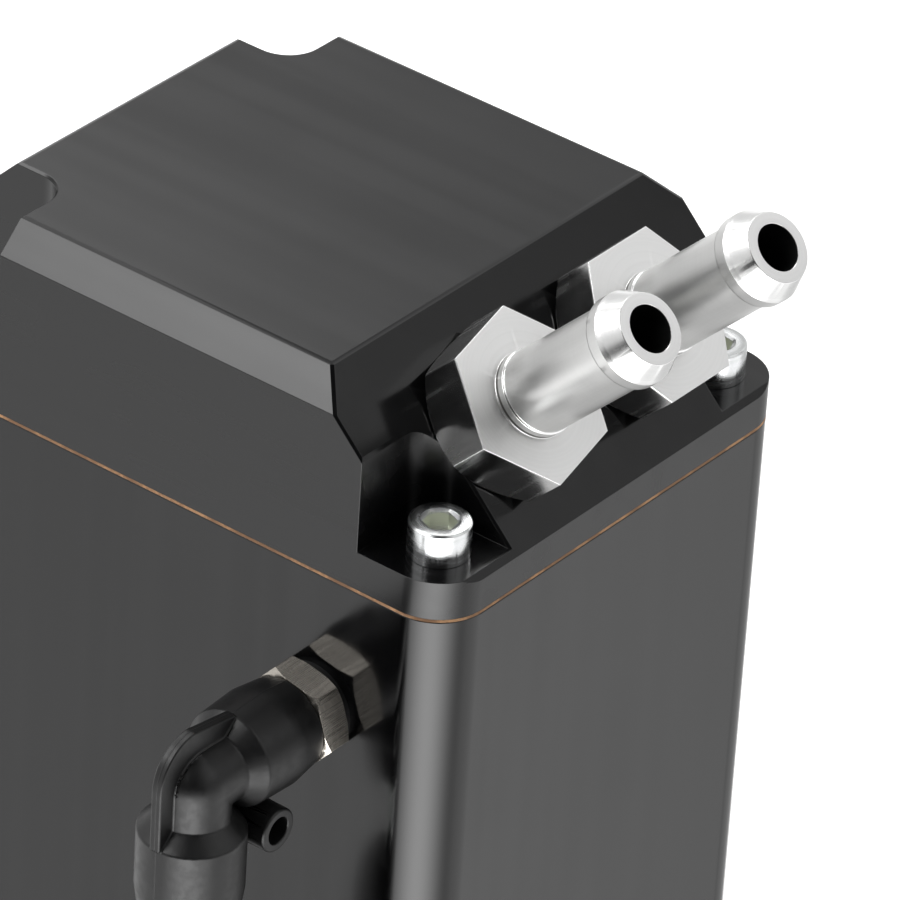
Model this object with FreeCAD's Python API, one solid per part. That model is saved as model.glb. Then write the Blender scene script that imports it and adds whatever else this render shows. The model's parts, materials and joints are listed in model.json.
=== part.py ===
import FreeCAD, Part
import math
import os

from FreeCAD import Matrix, Placement, Rotation, Vector

# Oil catch can: a milled lid on a rectangular tank, two hose barbs on the lid's slope,
# and a sight tube between two push-in elbows on one side.
# Frame: +Z up, +X the side that the barbs face, -Y the side of the sight tube.
# The origin is the centre of the base plate's underside. All lengths are millimetres.

# Driving dimensions of the body
body_length = 110.0
body_width = 89.0
corner_radius = 9.0
base_thickness = 8.0
gasket_thickness = 0.5
tank_height = 106.5
lid_height = 34.5
tank_wall = 6.0
edge_break = 0.4

# Lid
slope_foot = 5.8
slope_angle = 45.0
side_chamfer = 5.1
rear_chamfer = 6.9
pocket_floor = 6.8
pocket_length = 18.0
pocket_width = 17.0
pocket_fillet = 6.0
lid_wall = 5.0
lid_rear_wall = 10.0
lid_roof = 12.5
port_wall = 12.0

# Screws at the body's corners
screw_radius = 3.0
screw_hole_radius = 3.3
screw_head_radius = 5.05
screw_head_height = 6.0
screw_socket_flats = 5.0
screw_socket_depth = 3.0
screw_head_break = 0.5
screw_thread_depth = 13.0
screw_tip_room = 3.0
lid_screw_turns = (8.0, 23.0, 41.0, 52.0)
base_screw_head_radius = 6.0
base_screw_head_height = 3.3
base_screw_sink = 0.2
base_screw_socket_flats = 4.0
base_screw_socket_depth = 1.9
base_screw_turns = (12.0, 35.0, 3.0, 48.0)
boss_radius = 7.5

# Baffle plate under the lid
baffle_thickness = 2.0
baffle_ledge = 2.0
baffle_hole_radius = 2.5
baffle_hole_pitch = 12.0
baffle_columns = 7
baffle_rows = 5

# Drain plug in the base plate
spigot_height = 4.0
drain_offset = 24.0
drain_thread_radius = 6.5
drain_thread_length = 9.0
drain_head_radius = 9.0
drain_head_height = 3.0
drain_washer_radius = 9.0
drain_washer_thickness = 1.0
drain_recess = 0.4
drain_socket_flats = 6.0
drain_socket_depth = 5.0
drain_thread_break = 0.8

# Bracket holes in the tank's rear wall
bracket_hole_radius = 3.0
bracket_hole_depth = 9.0
bracket_hole_spacing = 50.0
bracket_hole_height = 84.0
bracket_boss_radius = 6.5
bracket_boss_depth = 5.0

# Hose barbs on the slope
port_spacing = 32.6
port_up_slope = 20.35
port_hex_flats = 25.8
port_hex_top = 10.3
port_hex_seat = 0.3
port_hex_turns = (72.0, 60.0)
port_groove_radius = 8.6
port_groove_depth = 0.5
port_tube_radius = 6.95
port_bore_radius = 3.97
port_bead_start = 34.0
port_bead_end = 36.4
port_bead_radius = 7.75
port_bead_taper = 0.8
port_tip = 40.4
port_tip_radius = 5.9
port_thread_radius = 8.3
port_thread_length = 11.0
port_relief_radius = 7.4
port_relief_length = 2.4
port_seal_section = 2.2
port_counterbore_radius = 10.1
port_counterbore_depth = 2.2
port_mouth_radius = 4.1

# Push-in elbows and the sight tube
elbow_edge_offset = 25.0
elbow_drop = 24.9
lower_elbow_height = 20.0
elbow_reach = 29.0
stem_hex_flats = 16.0
stem_hex_start = 1.4
stem_rear_bevel = 0.65
stem_hex_end = 6.2
stem_bevel_end = 7.0
stem_bevel_radius = 8.2
stem_hex_turns = (48.6, 20.0)
stem_thread_radius = 6.5
stem_thread_length = 9.0
stem_seal_radius = 7.6
stem_neck_radius = 5.5
stem_neck_end = 16.0
stem_bore_radius = 3.25
arm_radius = 8.76
arm_end_radius = 8.0
arm_front_radius = 8.4
arm_barrel_length = 5.6
arm_shoulder = 8.5
arm_length = 24.5
arm_cone_length = 2.7
neck_radius = 6.1
web_thickness = 2.0
web_rise = 1.5
web_outset = 0.4
web_corner_radius = 8.0
eyelet_radius = 3.8
eyelet_bore_radius = 2.3
eyelet_length = 15.9
eyelet_rim = 0.5
eyelet_out = 17.2
eyelet_down = 11.7
tube_radius = 5.0
tube_bore_radius = 3.25
tube_insertion = 14.5
socket_radius = 7.4
guide_length = 5.8
grip_thickness = 0.5
grip_room = 0.9
grip_slots = 8
grip_slot_width = 0.8
grip_rim = 1.0
tube_seal_length = 2.3
collar_radius = 6.2
collar_flange_radius = 7.2
collar_flange_thickness = 1.6
collar_sleeve_length = 4.4
collar_travel = 1.2

# Fits
running_gap = 0.05
thread_gap = 0.1
seal_gap = 0.05
stop_gap = 0.1
locating_gap = 0.2

# How near two measures are when they count as the same
same = 0.01

# Worked-out places
tank_base_z = base_thickness + gasket_thickness
tank_top_z = tank_base_z + tank_height
lid_base_z = tank_top_z + gasket_thickness
half_length = body_length / 2
half_width = body_width / 2
screw_x = half_length - corner_radius
screw_y = half_width - corner_radius
slope_radians = math.radians(slope_angle)
slope_normal = Vector(math.sin(slope_radians), 0, math.cos(slope_radians))
slope_upward = Vector(-math.cos(slope_radians), 0, math.sin(slope_radians))
elbow_x = half_length - elbow_edge_offset
upper_elbow_z = lid_base_z - elbow_drop
over = 5.0


def place_at(origin, x_axis, y_axis, z_axis):
    """Placement that carries the local axes to the three given directions."""
    rotation = Rotation(Matrix(x_axis.x, y_axis.x, z_axis.x, 0,
                               x_axis.y, y_axis.y, z_axis.y, 0,
                               x_axis.z, y_axis.z, z_axis.z, 0,
                               0, 0, 0, 1))
    return Placement(origin, rotation)


def placed(shape, placement):
    """Copy of a shape, carried by a placement."""
    moved = shape.copy()
    moved.Placement = placement.multiply(moved.Placement)
    return moved


def rounded_face(length, width, radius, z):
    """Rectangle about the Z axis with rounded corners, as a face at height z."""
    x = length / 2
    y = width / 2
    bulge = radius * (1 - math.sqrt(0.5))
    corners = [(x, -y, 1, -1), (x, y, 1, 1), (-x, y, -1, 1), (-x, -y, -1, -1)]
    edges = []
    ends = []
    for cx, cy, sx, sy in corners:
        on_x_side = Vector(cx, cy - sy * radius, z)
        on_y_side = Vector(cx - sx * radius, cy, z)
        middle = Vector(cx - sx * bulge, cy - sy * bulge, z)
        first, last = (on_y_side, on_x_side) if sx * sy < 0 else (on_x_side, on_y_side)
        edges.append(Part.Arc(first, middle, last).toShape())
        ends.append((first, last))
    for index, (_, last) in enumerate(ends):
        following = ends[(index + 1) % len(ends)][0]
        edges.append(Part.LineSegment(last, following).toShape())
    return Part.Face(Part.Wire(Part.__sortEdges__(edges)))


def rounded_prism(length, width, radius, z, height):
    """Upright prism with a rounded rectangular section."""
    return rounded_face(length, width, radius, z).extrude(Vector(0, 0, height))


def prism_xz(points, y_low, y_high):
    """Prism along Y whose section is a polygon of (x, z) points."""
    corners = [Vector(x, y_low, z) for x, z in points]
    face = Part.Face(Part.makePolygon(corners + corners[:1]))
    return face.extrude(Vector(0, y_high - y_low, 0))


def prism_yz(points, x_low, x_high):
    """Prism along X whose section is a polygon of (y, z) points."""
    corners = [Vector(x_low, y, z) for y, z in points]
    face = Part.Face(Part.makePolygon(corners + corners[:1]))
    return face.extrude(Vector(x_high - x_low, 0, 0))


def turned(profile):
    """Solid of revolution about Z of a closed profile of (radius, height) points."""
    corners = [Vector(radius, 0, height) for radius, height in profile]
    face = Part.Face(Part.makePolygon(corners + corners[:1]))
    return face.revolve(Vector(0, 0, 0), Vector(0, 0, 1), 360)


def cylinder(radius, start, direction, length):
    """Cylinder from a start point along a direction."""
    return Part.makeCylinder(radius, length, start, direction)


def tube(outer, inner, z_low, z_high):
    """Hollow cylinder about Z."""
    return turned([(inner, z_low), (outer, z_low), (outer, z_high), (inner, z_high)])


def torus_ring(section_radius, mean_radius, z):
    """Ring of round section about Z."""
    return Part.makeTorus(mean_radius, section_radius, Vector(0, 0, z))


def hex_prism(across_flats, z_low, z_high, turn):
    """Hexagonal prism about Z, with one corner at the angle turn from X."""
    radius = across_flats / math.sqrt(3)
    angles = [math.radians(turn + 60 * index) for index in range(6)]
    corners = [Vector(radius * math.cos(a), radius * math.sin(a), z_low) for a in angles]
    face = Part.Face(Part.makePolygon(corners + corners[:1]))
    return face.extrude(Vector(0, 0, z_high - z_low))


def screw_places():
    """Centres of the four corner screws, in plan."""
    return [(sx * screw_x, sy * screw_y) for sx in (-1, 1) for sy in (-1, 1)]


def screw_holes(radius, z_low, z_high):
    """Four upright cylinders at the corner screws."""
    up = Vector(0, 0, 1)
    return [cylinder(radius, Vector(x, y, z_low), up, z_high - z_low) for x, y in screw_places()]


def tank_inside(wall, z, height, corner_boss):
    """Room inside the tank: an upright prism less the screw bosses in its corners.

    Its own corners lose half of the wall from the outer radius, as on a drawn tube.
    """
    inner_radius = corner_radius - wall / 2
    room = rounded_prism(body_length - 2 * wall, body_width - 2 * wall, inner_radius, z, height)
    return room.cut(screw_holes(corner_boss, z, z + height))


# Lid

def corner_pocket():
    """The pocket milled out of one lid corner, which bares a screw's seat."""
    x = half_length - pocket_length
    y = half_width - pocket_width
    z = lid_base_z + pocket_floor
    bulge = pocket_fillet * (1 - math.sqrt(0.5))
    far_x = half_length + over
    far_y = half_width + over
    start = Vector(x + pocket_fillet, y, z)
    end = Vector(x, y + pocket_fillet, z)
    corners = [start, Vector(far_x, y, z), Vector(far_x, far_y, z), Vector(x, far_y, z), end]
    edges = [Part.LineSegment(a, b).toShape() for a, b in zip(corners, corners[1:])]
    edges.append(Part.Arc(end, Vector(x + bulge, y + bulge, z), start).toShape())
    face = Part.Face(Part.Wire(edges))
    return face.extrude(Vector(0, 0, lid_height))


def four_corners(shape):
    """A shape at the +X +Y corner, and its mirror images at the other three."""
    across_x = shape.mirror(Vector(0, 0, 0), Vector(1, 0, 0))
    pair = [shape, across_x]
    return pair + [item.mirror(Vector(0, 0, 0), Vector(0, 1, 0)) for item in pair]


def slope_wedge():
    """What the 45 degree slope takes off the lid."""
    foot = lid_base_z + slope_foot
    top = lid_base_z + lid_height
    run = (top - foot) / math.tan(slope_radians)
    reach = over / math.tan(slope_radians)
    points = [(half_length + reach, foot - over),
              (half_length - run - reach, top + over),
              (half_length + reach, top + over)]
    return prism_xz(points, -body_width, body_width)


def edge_wedge(half_size, chamfer):
    """Section, across one top edge of the lid, of what its 45 degree chamfer takes off."""
    top = lid_base_z + lid_height
    return [(half_size - chamfer - over, top + over),
            (half_size + over, top - chamfer - over),
            (half_size + over, top + over)]


def lid_cavity():
    """Room inside the lid, open to the tank, clear of the pockets and the port threads."""
    port_wall_inside = (port_point(0) - slope_normal * port_wall).dot(slope_normal)
    roof = lid_base_z + lid_height - lid_roof
    low = lid_base_z - over

    def x_on_slope(z):
        return (port_wall_inside - z * slope_normal.z) / slope_normal.x

    rear = -(half_length - lid_rear_wall)
    section = [(rear, low), (x_on_slope(lid_base_z), low), (x_on_slope(lid_base_z), lid_base_z),
               (x_on_slope(roof), roof), (rear, roof)]
    room = prism_xz(section, -body_width, body_width)
    long_arm = rounded_prism(2 * body_length, body_width - 2 * (pocket_width + lid_wall), lid_wall,
                             low, lid_height + over)
    cross_arm = rounded_prism(body_length - 2 * (pocket_length + lid_wall), body_width - 2 * tank_wall,
                              lid_wall, low, lid_height + over)
    return room.common(long_arm.fuse(cross_arm))


def port_point(side):
    """Point on the slope under a barb's axis; side is -1, 0 or 1 across the lid."""
    foot = Vector(half_length, side * port_spacing / 2, lid_base_z + slope_foot)
    return foot + slope_upward * port_up_slope


def port_placement(side):
    """Carries a barb's own frame to its seat: Z along the slope's normal."""
    return place_at(port_point(side), Vector(0, 1, 0), slope_upward, slope_normal)


def port_hole():
    """Threaded hole and seal counterbore of one port, in the barb's own frame."""
    down = Vector(0, 0, -1)
    thread = cylinder(port_thread_radius + thread_gap, Vector(0, 0, over), down, over + port_wall + over)
    counterbore = cylinder(port_counterbore_radius, Vector(0, 0, over), down, over + port_counterbore_depth)
    return thread.fuse(counterbore)


def lid_outer_edges(shape):
    """Edges of the lid's top face and of the slope, which are broken by hand."""
    top = lid_base_z + lid_height
    foot = Vector(half_length, 0, lid_base_z + slope_foot)
    chosen = []
    for edge in shape.Edges:
        if isinstance(edge.Curve, Part.Line):
            points = [vertex.Point for vertex in edge.Vertexes]
            on_top = all(abs(point.z - top) < same for point in points)
            on_slope = all(abs((point - foot).dot(slope_normal)) < same for point in points)
            along_y = abs(points[0].x - points[1].x) < same and abs(points[0].z - points[1].z) < same
            if on_top or (on_slope and not along_y):
                chosen.append(edge)
    return chosen


def lid():
    """The milled lid: slope, chamfers, corner pockets, cavity and holes."""
    block = rounded_prism(body_length, body_width, corner_radius, lid_base_z, lid_height)
    side = edge_wedge(half_width, side_chamfer)
    rear = [(-x, z) for x, z in edge_wedge(half_length, rear_chamfer)]
    cuts = [slope_wedge(),
            prism_yz(side, -body_length, body_length),
            prism_yz([(-y, z) for y, z in side], -body_length, body_length),
            prism_xz(rear, -body_width, body_width)]
    cuts += four_corners(corner_pocket())
    shape = block.cut(cuts)
    shape = shape.makeChamfer(edge_break, lid_outer_edges(shape))
    holes = screw_holes(screw_hole_radius, lid_base_z - over, lid_base_z + pocket_floor + over)
    holes += [placed(port_hole(), port_placement(side)) for side in (-1, 1)]
    holes.append(lid_cavity())
    return shape.cut(holes)


# Tank, gaskets and base

def ring_gasket(z):
    """Flat gasket with the tank's outline, its inside and four screw holes."""
    plate = rounded_prism(body_length, body_width, corner_radius, z, gasket_thickness)
    cuts = [tank_inside(tank_wall, z - over, gasket_thickness + 2 * over, boss_radius)]
    cuts += screw_holes(screw_hole_radius, z - over, z + gasket_thickness + over)
    return plate.cut(cuts)


def bracket_places():
    """Centres of the two bracket holes on the rear wall's outer face."""
    return [Vector(sx * bracket_hole_spacing / 2, half_width, bracket_hole_height) for sx in (-1, 1)]


def elbow_placement(height, arm):
    """Carries an elbow's own frame to the tank: Z out of the side, Y along its arm."""
    outward = Vector(0, -1, 0)
    along = Vector(0, 0, arm)
    return place_at(Vector(elbow_x, -half_width, height), along.cross(outward), along, outward)


def elbows():
    """Name, placement and hexagon turn of the two elbows."""
    return [("upper", elbow_placement(upper_elbow_z, -1), stem_hex_turns[0]),
            ("lower", elbow_placement(lower_elbow_height, 1), stem_hex_turns[1])]


def tank_body():
    """Rectangular tube with corner bosses, a ledge for the baffle and its threaded holes."""
    tank = rounded_prism(body_length, body_width, corner_radius, tank_base_z, tank_height)
    tank = tank.cut(tank_inside(tank_wall, tank_base_z - over, tank_height + 2 * over, boss_radius))
    inward = Vector(0, -1, 0)
    wall_inside = Vector(0, tank_wall - edge_break, 0)
    bosses = [cylinder(bracket_boss_radius, place - wall_inside, inward, bracket_boss_depth + edge_break)
              for place in bracket_places()]
    tank = tank.fuse(bosses).removeSplitter()
    ledge_z = tank_top_z - baffle_thickness
    thread = screw_radius + thread_gap
    depth = screw_thread_depth + screw_tip_room
    cuts = [tank_inside(tank_wall - baffle_ledge, ledge_z, baffle_thickness + over, boss_radius)]
    cuts += screw_holes(thread, tank_top_z - depth, tank_top_z + over)
    cuts += screw_holes(thread, tank_base_z - over, tank_base_z + depth)
    cuts += [cylinder(bracket_hole_radius, place, inward, bracket_hole_depth) for place in bracket_places()]
    port = cylinder(stem_thread_radius + thread_gap, Vector(0, 0, over), Vector(0, 0, -1),
                    over + tank_wall + over)
    cuts += [placed(port, placement) for _, placement, _ in elbows()]
    return tank.cut(cuts)


def baffle_plate():
    """Perforated plate that lies on the tank's ledge and is held down by the gasket."""
    z = tank_top_z - baffle_thickness
    wall = tank_wall - baffle_ledge + locating_gap
    plate = tank_inside(wall, z, baffle_thickness, boss_radius + locating_gap)
    up = Vector(0, 0, 1)
    holes = []
    for row in range(baffle_rows):
        y = (row - (baffle_rows - 1) / 2) * baffle_hole_pitch
        for column in range(baffle_columns):
            x = (column - (baffle_columns - 1) / 2) * baffle_hole_pitch
            holes.append(cylinder(baffle_hole_radius, Vector(x, y, z - over), up, baffle_thickness + 2 * over))
    return plate.cut(holes)


def drain_placement():
    """Carries the drain plug's own frame, with Z out of the mouth, to the base's underside."""
    return place_at(Vector(-drain_offset, 0, 0), Vector(1, 0, 0), Vector(0, -1, 0), Vector(0, 0, -1))


def base_plate():
    """Base with a spigot that fits the tank, countersunk holes and the drain's seat."""
    plate = rounded_prism(body_length, body_width, corner_radius, 0, base_thickness)
    plate = plate.makeChamfer(edge_break, [edge for edge in plate.Edges if edge.BoundBox.ZMax < same])
    spigot = tank_inside(tank_wall + locating_gap, base_thickness, gasket_thickness + spigot_height,
                         boss_radius + locating_gap)
    head_depth = base_screw_sink + base_screw_head_height
    countersink = turned([(0, -over), (base_screw_head_radius + running_gap, -over),
                          (base_screw_head_radius + running_gap, base_screw_sink),
                          (screw_hole_radius, head_depth), (screw_hole_radius, base_thickness + over),
                          (0, base_thickness + over)])
    cuts = []
    for x, y in screw_places():
        sink = countersink.copy()
        sink.translate(Vector(x, y, 0))
        cuts.append(sink)
    seat = drain_recess + drain_head_height + drain_washer_thickness
    bore = turned([(0, over), (drain_washer_radius + locating_gap, over),
                   (drain_washer_radius + locating_gap, -seat), (drain_thread_radius + thread_gap, -seat),
                   (drain_thread_radius + thread_gap, -base_thickness - spigot_height - over),
                   (0, -base_thickness - spigot_height - over)])
    cuts.append(placed(bore, drain_placement()))
    return plate.fuse(spigot).removeSplitter().cut(cuts)


def drain_plug():
    """Plug with a flanged head and a hexagon socket."""
    head_top = -drain_recess
    head_base = head_top - drain_head_height
    end = head_base - drain_washer_thickness - drain_thread_length
    plug = turned([(0, head_top), (drain_head_radius - edge_break, head_top),
                   (drain_head_radius, head_top - edge_break), (drain_head_radius, head_base),
                   (drain_thread_radius, head_base), (drain_thread_radius, end + drain_thread_break),
                   (drain_thread_radius - drain_thread_break, end), (0, end)])
    socket = hex_prism(drain_socket_flats, head_top - drain_socket_depth, head_top + over, 0)
    return placed(plug.cut(socket), drain_placement())


def drain_washer():
    """Sealing washer under the drain plug's head."""
    top = -drain_recess - drain_head_height
    washer = tube(drain_washer_radius, drain_thread_radius + thread_gap, top - drain_washer_thickness, top)
    return placed(washer, drain_placement())


# Screws

def lid_screw():
    """Socket cap screw about Z, with its seat at height zero."""
    head = screw_head_height
    end = -(pocket_floor + gasket_thickness + screw_thread_depth)
    screw = turned([(0, head), (screw_head_radius - screw_head_break, head),
                    (screw_head_radius, head - screw_head_break), (screw_head_radius, 0),
                    (screw_radius, 0), (screw_radius, end + edge_break), (screw_radius - edge_break, end),
                    (0, end)])
    return screw.cut(hex_prism(screw_socket_flats, head - screw_socket_depth, head + over, 0))


def base_screw():
    """Countersunk screw about Z, with the top of its head at height zero and its tip above."""
    end = base_thickness - base_screw_sink + gasket_thickness + screw_thread_depth
    screw = turned([(0, 0), (base_screw_head_radius - edge_break, 0),
                    (screw_radius, base_screw_head_height), (screw_radius, end - edge_break),
                    (screw_radius - edge_break, end), (0, end)])
    return screw.cut(hex_prism(base_screw_socket_flats, -over, base_screw_socket_depth, 0))


def screw_group(screw, z, turns):
    """Four like screws at the corners, each turned by its own angle."""
    group = []
    for (x, y), turn in zip(screw_places(), turns):
        copy = screw.copy()
        copy.rotate(Vector(0, 0, 0), Vector(0, 0, 1), turn)
        copy.translate(Vector(x, y, z))
        group.append(copy)
    return Part.makeCompound(group)


# Hose barbs

def barb(hex_turn):
    """Hose barb in its own frame: threaded shank, hexagon, tube and bead, bored through."""
    corner = port_hex_flats / math.sqrt(3)
    flat = port_hex_flats / 2
    hexagon = hex_prism(port_hex_flats, 0, port_hex_top, hex_turn)
    rear_chamfer_end = port_hex_seat + corner - flat
    envelope = turned([(0, 0), (flat, 0), (flat, port_hex_seat), (corner, rear_chamfer_end),
                       (corner, port_hex_top), (0, port_hex_top)])
    hexagon = hexagon.common(envelope)
    groove = tube(port_groove_radius, port_tube_radius, port_hex_top - port_groove_depth, port_hex_top)
    taper_start = port_bead_end + port_bead_taper
    profile = [(0, -port_thread_length), (port_thread_radius - edge_break, -port_thread_length),
               (port_thread_radius, edge_break - port_thread_length),
               (port_thread_radius, -port_relief_length), (port_relief_radius, -port_relief_length),
               (port_relief_radius, port_hex_seat), (port_tube_radius, port_hex_seat),
               (port_tube_radius, port_bead_start), (port_bead_radius, port_bead_start),
               (port_bead_radius, port_bead_end), (port_bead_radius - edge_break, taper_start),
               (port_tip_radius + edge_break / 2, port_tip - edge_break), (port_tip_radius, port_tip),
               (0, port_tip)]
    body = turned(profile).fuse(hexagon).cut(groove)
    bore = cylinder(port_bore_radius, Vector(0, 0, -port_thread_length - over), Vector(0, 0, 1),
                    port_thread_length + port_tip + 2 * over)
    mouth = Part.makeCone(port_mouth_radius, port_bore_radius, port_mouth_radius - port_bore_radius,
                          Vector(0, 0, port_tip), Vector(0, 0, -1))
    return body.removeSplitter().cut([bore, mouth])


def barb_seal():
    """O-ring in a port's counterbore, under the hexagon."""
    section = port_seal_section / 2
    return torus_ring(section, port_relief_radius + seal_gap + section, -section)


# Elbows, in their own frame: Z out of the tank, Y along the arm that holds the tube

def stem(hex_turn):
    """Nickelled stem: thread into the tank, hexagon bevelled at both ends, and the gripped neck."""
    corner = stem_hex_flats / math.sqrt(3)
    rear_corner = stem_hex_start + stem_rear_bevel
    hexagon = hex_prism(stem_hex_flats, stem_hex_start, stem_bevel_end, hex_turn)
    envelope = turned([(0, stem_hex_start), (stem_bevel_radius, stem_hex_start), (corner, rear_corner),
                       (corner, stem_hex_end), (stem_bevel_radius, stem_bevel_end),
                       (0, stem_bevel_end)])
    shaft = turned([(0, -stem_thread_length), (stem_thread_radius - edge_break, -stem_thread_length),
                    (stem_thread_radius, edge_break - stem_thread_length),
                    (stem_thread_radius, stem_hex_start), (stem_neck_radius, stem_hex_start),
                    (stem_neck_radius, stem_neck_end), (0, stem_neck_end)])
    bore = cylinder(stem_bore_radius, Vector(0, 0, -stem_thread_length - over), Vector(0, 0, 1),
                    stem_thread_length + stem_neck_end + 2 * over)
    return shaft.fuse(hexagon.common(envelope)).removeSplitter().cut(bore)


def stem_seal():
    """Flat sealing ring between the tank's side and the stem's hexagon."""
    return tube(stem_seal_radius, stem_thread_radius + thread_gap, 0, stem_hex_start)


def stem_arm():
    """The arm that grips the stem: barrelled at the hexagon, tapered to a conical shoulder."""
    end = elbow_reach - arm_shoulder
    return turned([(0, stem_bevel_end), (arm_end_radius, stem_bevel_end),
                   (arm_radius, stem_bevel_end + arm_barrel_length), (arm_front_radius, end),
                   (neck_radius, end + arm_cone_length), (0, end + arm_cone_length)])


def tube_arm():
    """The arm that holds the tube, about Z: a conical shoulder, and barrelled at its mouth."""
    start = arm_shoulder - arm_cone_length
    return turned([(0, start), (neck_radius, start), (arm_radius, arm_shoulder),
                   (arm_radius, arm_length - arm_barrel_length), (arm_end_radius, arm_length),
                   (0, arm_length)])


def upright(shape):
    """A shape about Z, laid along the elbow's tube arm."""
    return placed(shape, place_at(Vector(0, 0, elbow_reach), Vector(1, 0, 0), Vector(0, 0, -1), Vector(0, 1, 0)))


def web():
    """Flat rib round the outside of the bend, flush with both arms and raised at the corner."""
    arm_front = elbow_reach - arm_shoulder
    outer_z = elbow_reach + arm_radius + web_outset
    top_y = -arm_radius
    corner_y = -arm_radius - web_rise
    bend = web_corner_radius * (1 - math.sqrt(0.5))
    x = -web_thickness / 2
    start = Vector(x, corner_y, outer_z - web_corner_radius)
    middle = Vector(x, corner_y + bend, outer_z - bend)
    end = Vector(x, corner_y + web_corner_radius, outer_z)
    route = [end, Vector(x, arm_shoulder, outer_z), Vector(x, arm_shoulder, elbow_reach),
             Vector(x, 0, elbow_reach), Vector(x, 0, arm_front), Vector(x, top_y, arm_front), start]
    edges = [Part.LineSegment(a, b).toShape() for a, b in zip(route, route[1:])]
    edges.append(Part.Arc(start, middle, end).toShape())
    return Part.Face(Part.Wire(edges)).extrude(Vector(web_thickness, 0, 0))


def eyelet():
    """Small eyelet in the inner corner, along X, with rounded rims."""
    start = Vector(-eyelet_length / 2, eyelet_down, eyelet_out)
    barrel = cylinder(eyelet_radius, start, Vector(1, 0, 0), eyelet_length)
    rims = [edge for edge in barrel.Edges if isinstance(edge.Curve, Part.Circle)]
    return barrel.makeFillet(eyelet_rim, rims)


def elbow_body():
    """Moulded elbow: two barrelled arms, a narrower neck at the bend, web and eyelet."""
    corner = Vector(0, 0, elbow_reach)
    along = Vector(0, 1, 0)
    outward = Vector(0, 0, 1)
    solid = stem_arm()
    pieces = [upright(tube_arm()),
              cylinder(neck_radius, Vector(0, 0, elbow_reach - arm_shoulder), outward, arm_shoulder),
              cylinder(neck_radius, corner, along, arm_shoulder),
              Part.makeSphere(neck_radius, corner),
              web(), eyelet()]
    solid = solid.fuse(pieces).removeSplitter()
    seal_end = guide_length + grip_room + tube_seal_length + 2 * stop_gap
    eye_start = Vector(-eyelet_length, eyelet_down, eyelet_out)
    mouth = Vector(0, arm_length, elbow_reach)
    inward = Vector(0, -1, 0)
    cuts = [cylinder(stem_neck_radius + running_gap, Vector(0, 0, 0), outward, stem_neck_end + stop_gap),
            cylinder(stem_bore_radius, Vector(0, 0, 0), outward, elbow_reach),
            Part.makeSphere(stem_bore_radius, corner),
            cylinder(stem_bore_radius, corner, along, arm_length),
            cylinder(tube_radius + running_gap, mouth, inward, tube_insertion + stop_gap),
            cylinder(socket_radius, mouth, inward, seal_end),
            cylinder(eyelet_bore_radius, eye_start, Vector(1, 0, 0), 2 * eyelet_length)]
    return solid.cut(cuts)


def guide_ring():
    """Ring pressed into the arm's mouth, in which the release collar slides."""
    ring = tube(socket_radius - running_gap, collar_radius + running_gap, arm_length - guide_length, arm_length)
    return upright(ring)


def grip_ring():
    """Toothed steel ring that holds the tube: a shallow cone, slotted into teeth."""
    outer = socket_radius - running_gap
    inner = tube_radius + running_gap
    low = arm_length - guide_length - stop_gap
    rise = grip_room - grip_thickness - stop_gap
    cone = turned([(inner, low - rise - grip_thickness), (outer, low - grip_thickness), (outer, low),
                   (inner, low - rise)])
    slot = Part.makeBox(outer - grip_rim, grip_slot_width, 4 * grip_room,
                        Vector(0, -grip_slot_width / 2, low - 2 * grip_room))
    slots = []
    for index in range(grip_slots):
        copy = slot.copy()
        copy.rotate(Vector(0, 0, 0), Vector(0, 0, 1), index * 360 / grip_slots)
        slots.append(copy)
    return upright(cone.cut(slots))


def tube_seal():
    """Rounded seal between the tube and the arm."""
    section = (socket_radius - tube_radius) / 2 - seal_gap
    z = arm_length - guide_length - grip_room - stop_gap - tube_seal_length / 2
    return upright(torus_ring(section, (socket_radius + tube_radius) / 2, z))


def collar():
    """Release collar: a flange outside the arm's mouth on a sleeve that reaches the grip ring."""
    inner = tube_radius + thread_gap
    flange_low = arm_length + collar_travel + stop_gap
    flange_high = flange_low + collar_flange_thickness
    sleeve_end = arm_length - collar_sleeve_length
    return upright(turned([(inner, sleeve_end), (collar_radius - edge_break, sleeve_end),
                           (collar_radius, sleeve_end + edge_break), (collar_radius, flange_low),
                           (collar_flange_radius, flange_low),
                           (collar_flange_radius, flange_high - edge_break),
                           (collar_flange_radius - edge_break, flange_high), (inner, flange_high)]))


def sight_tube():
    """Clear tube from one elbow's seat to the other's."""
    low = lower_elbow_height + arm_length - tube_insertion
    high = upper_elbow_z - arm_length + tube_insertion
    column = tube(tube_radius, tube_bore_radius, low, high)
    column.translate(Vector(elbow_x, -half_width - elbow_reach, 0))
    return column


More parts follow.
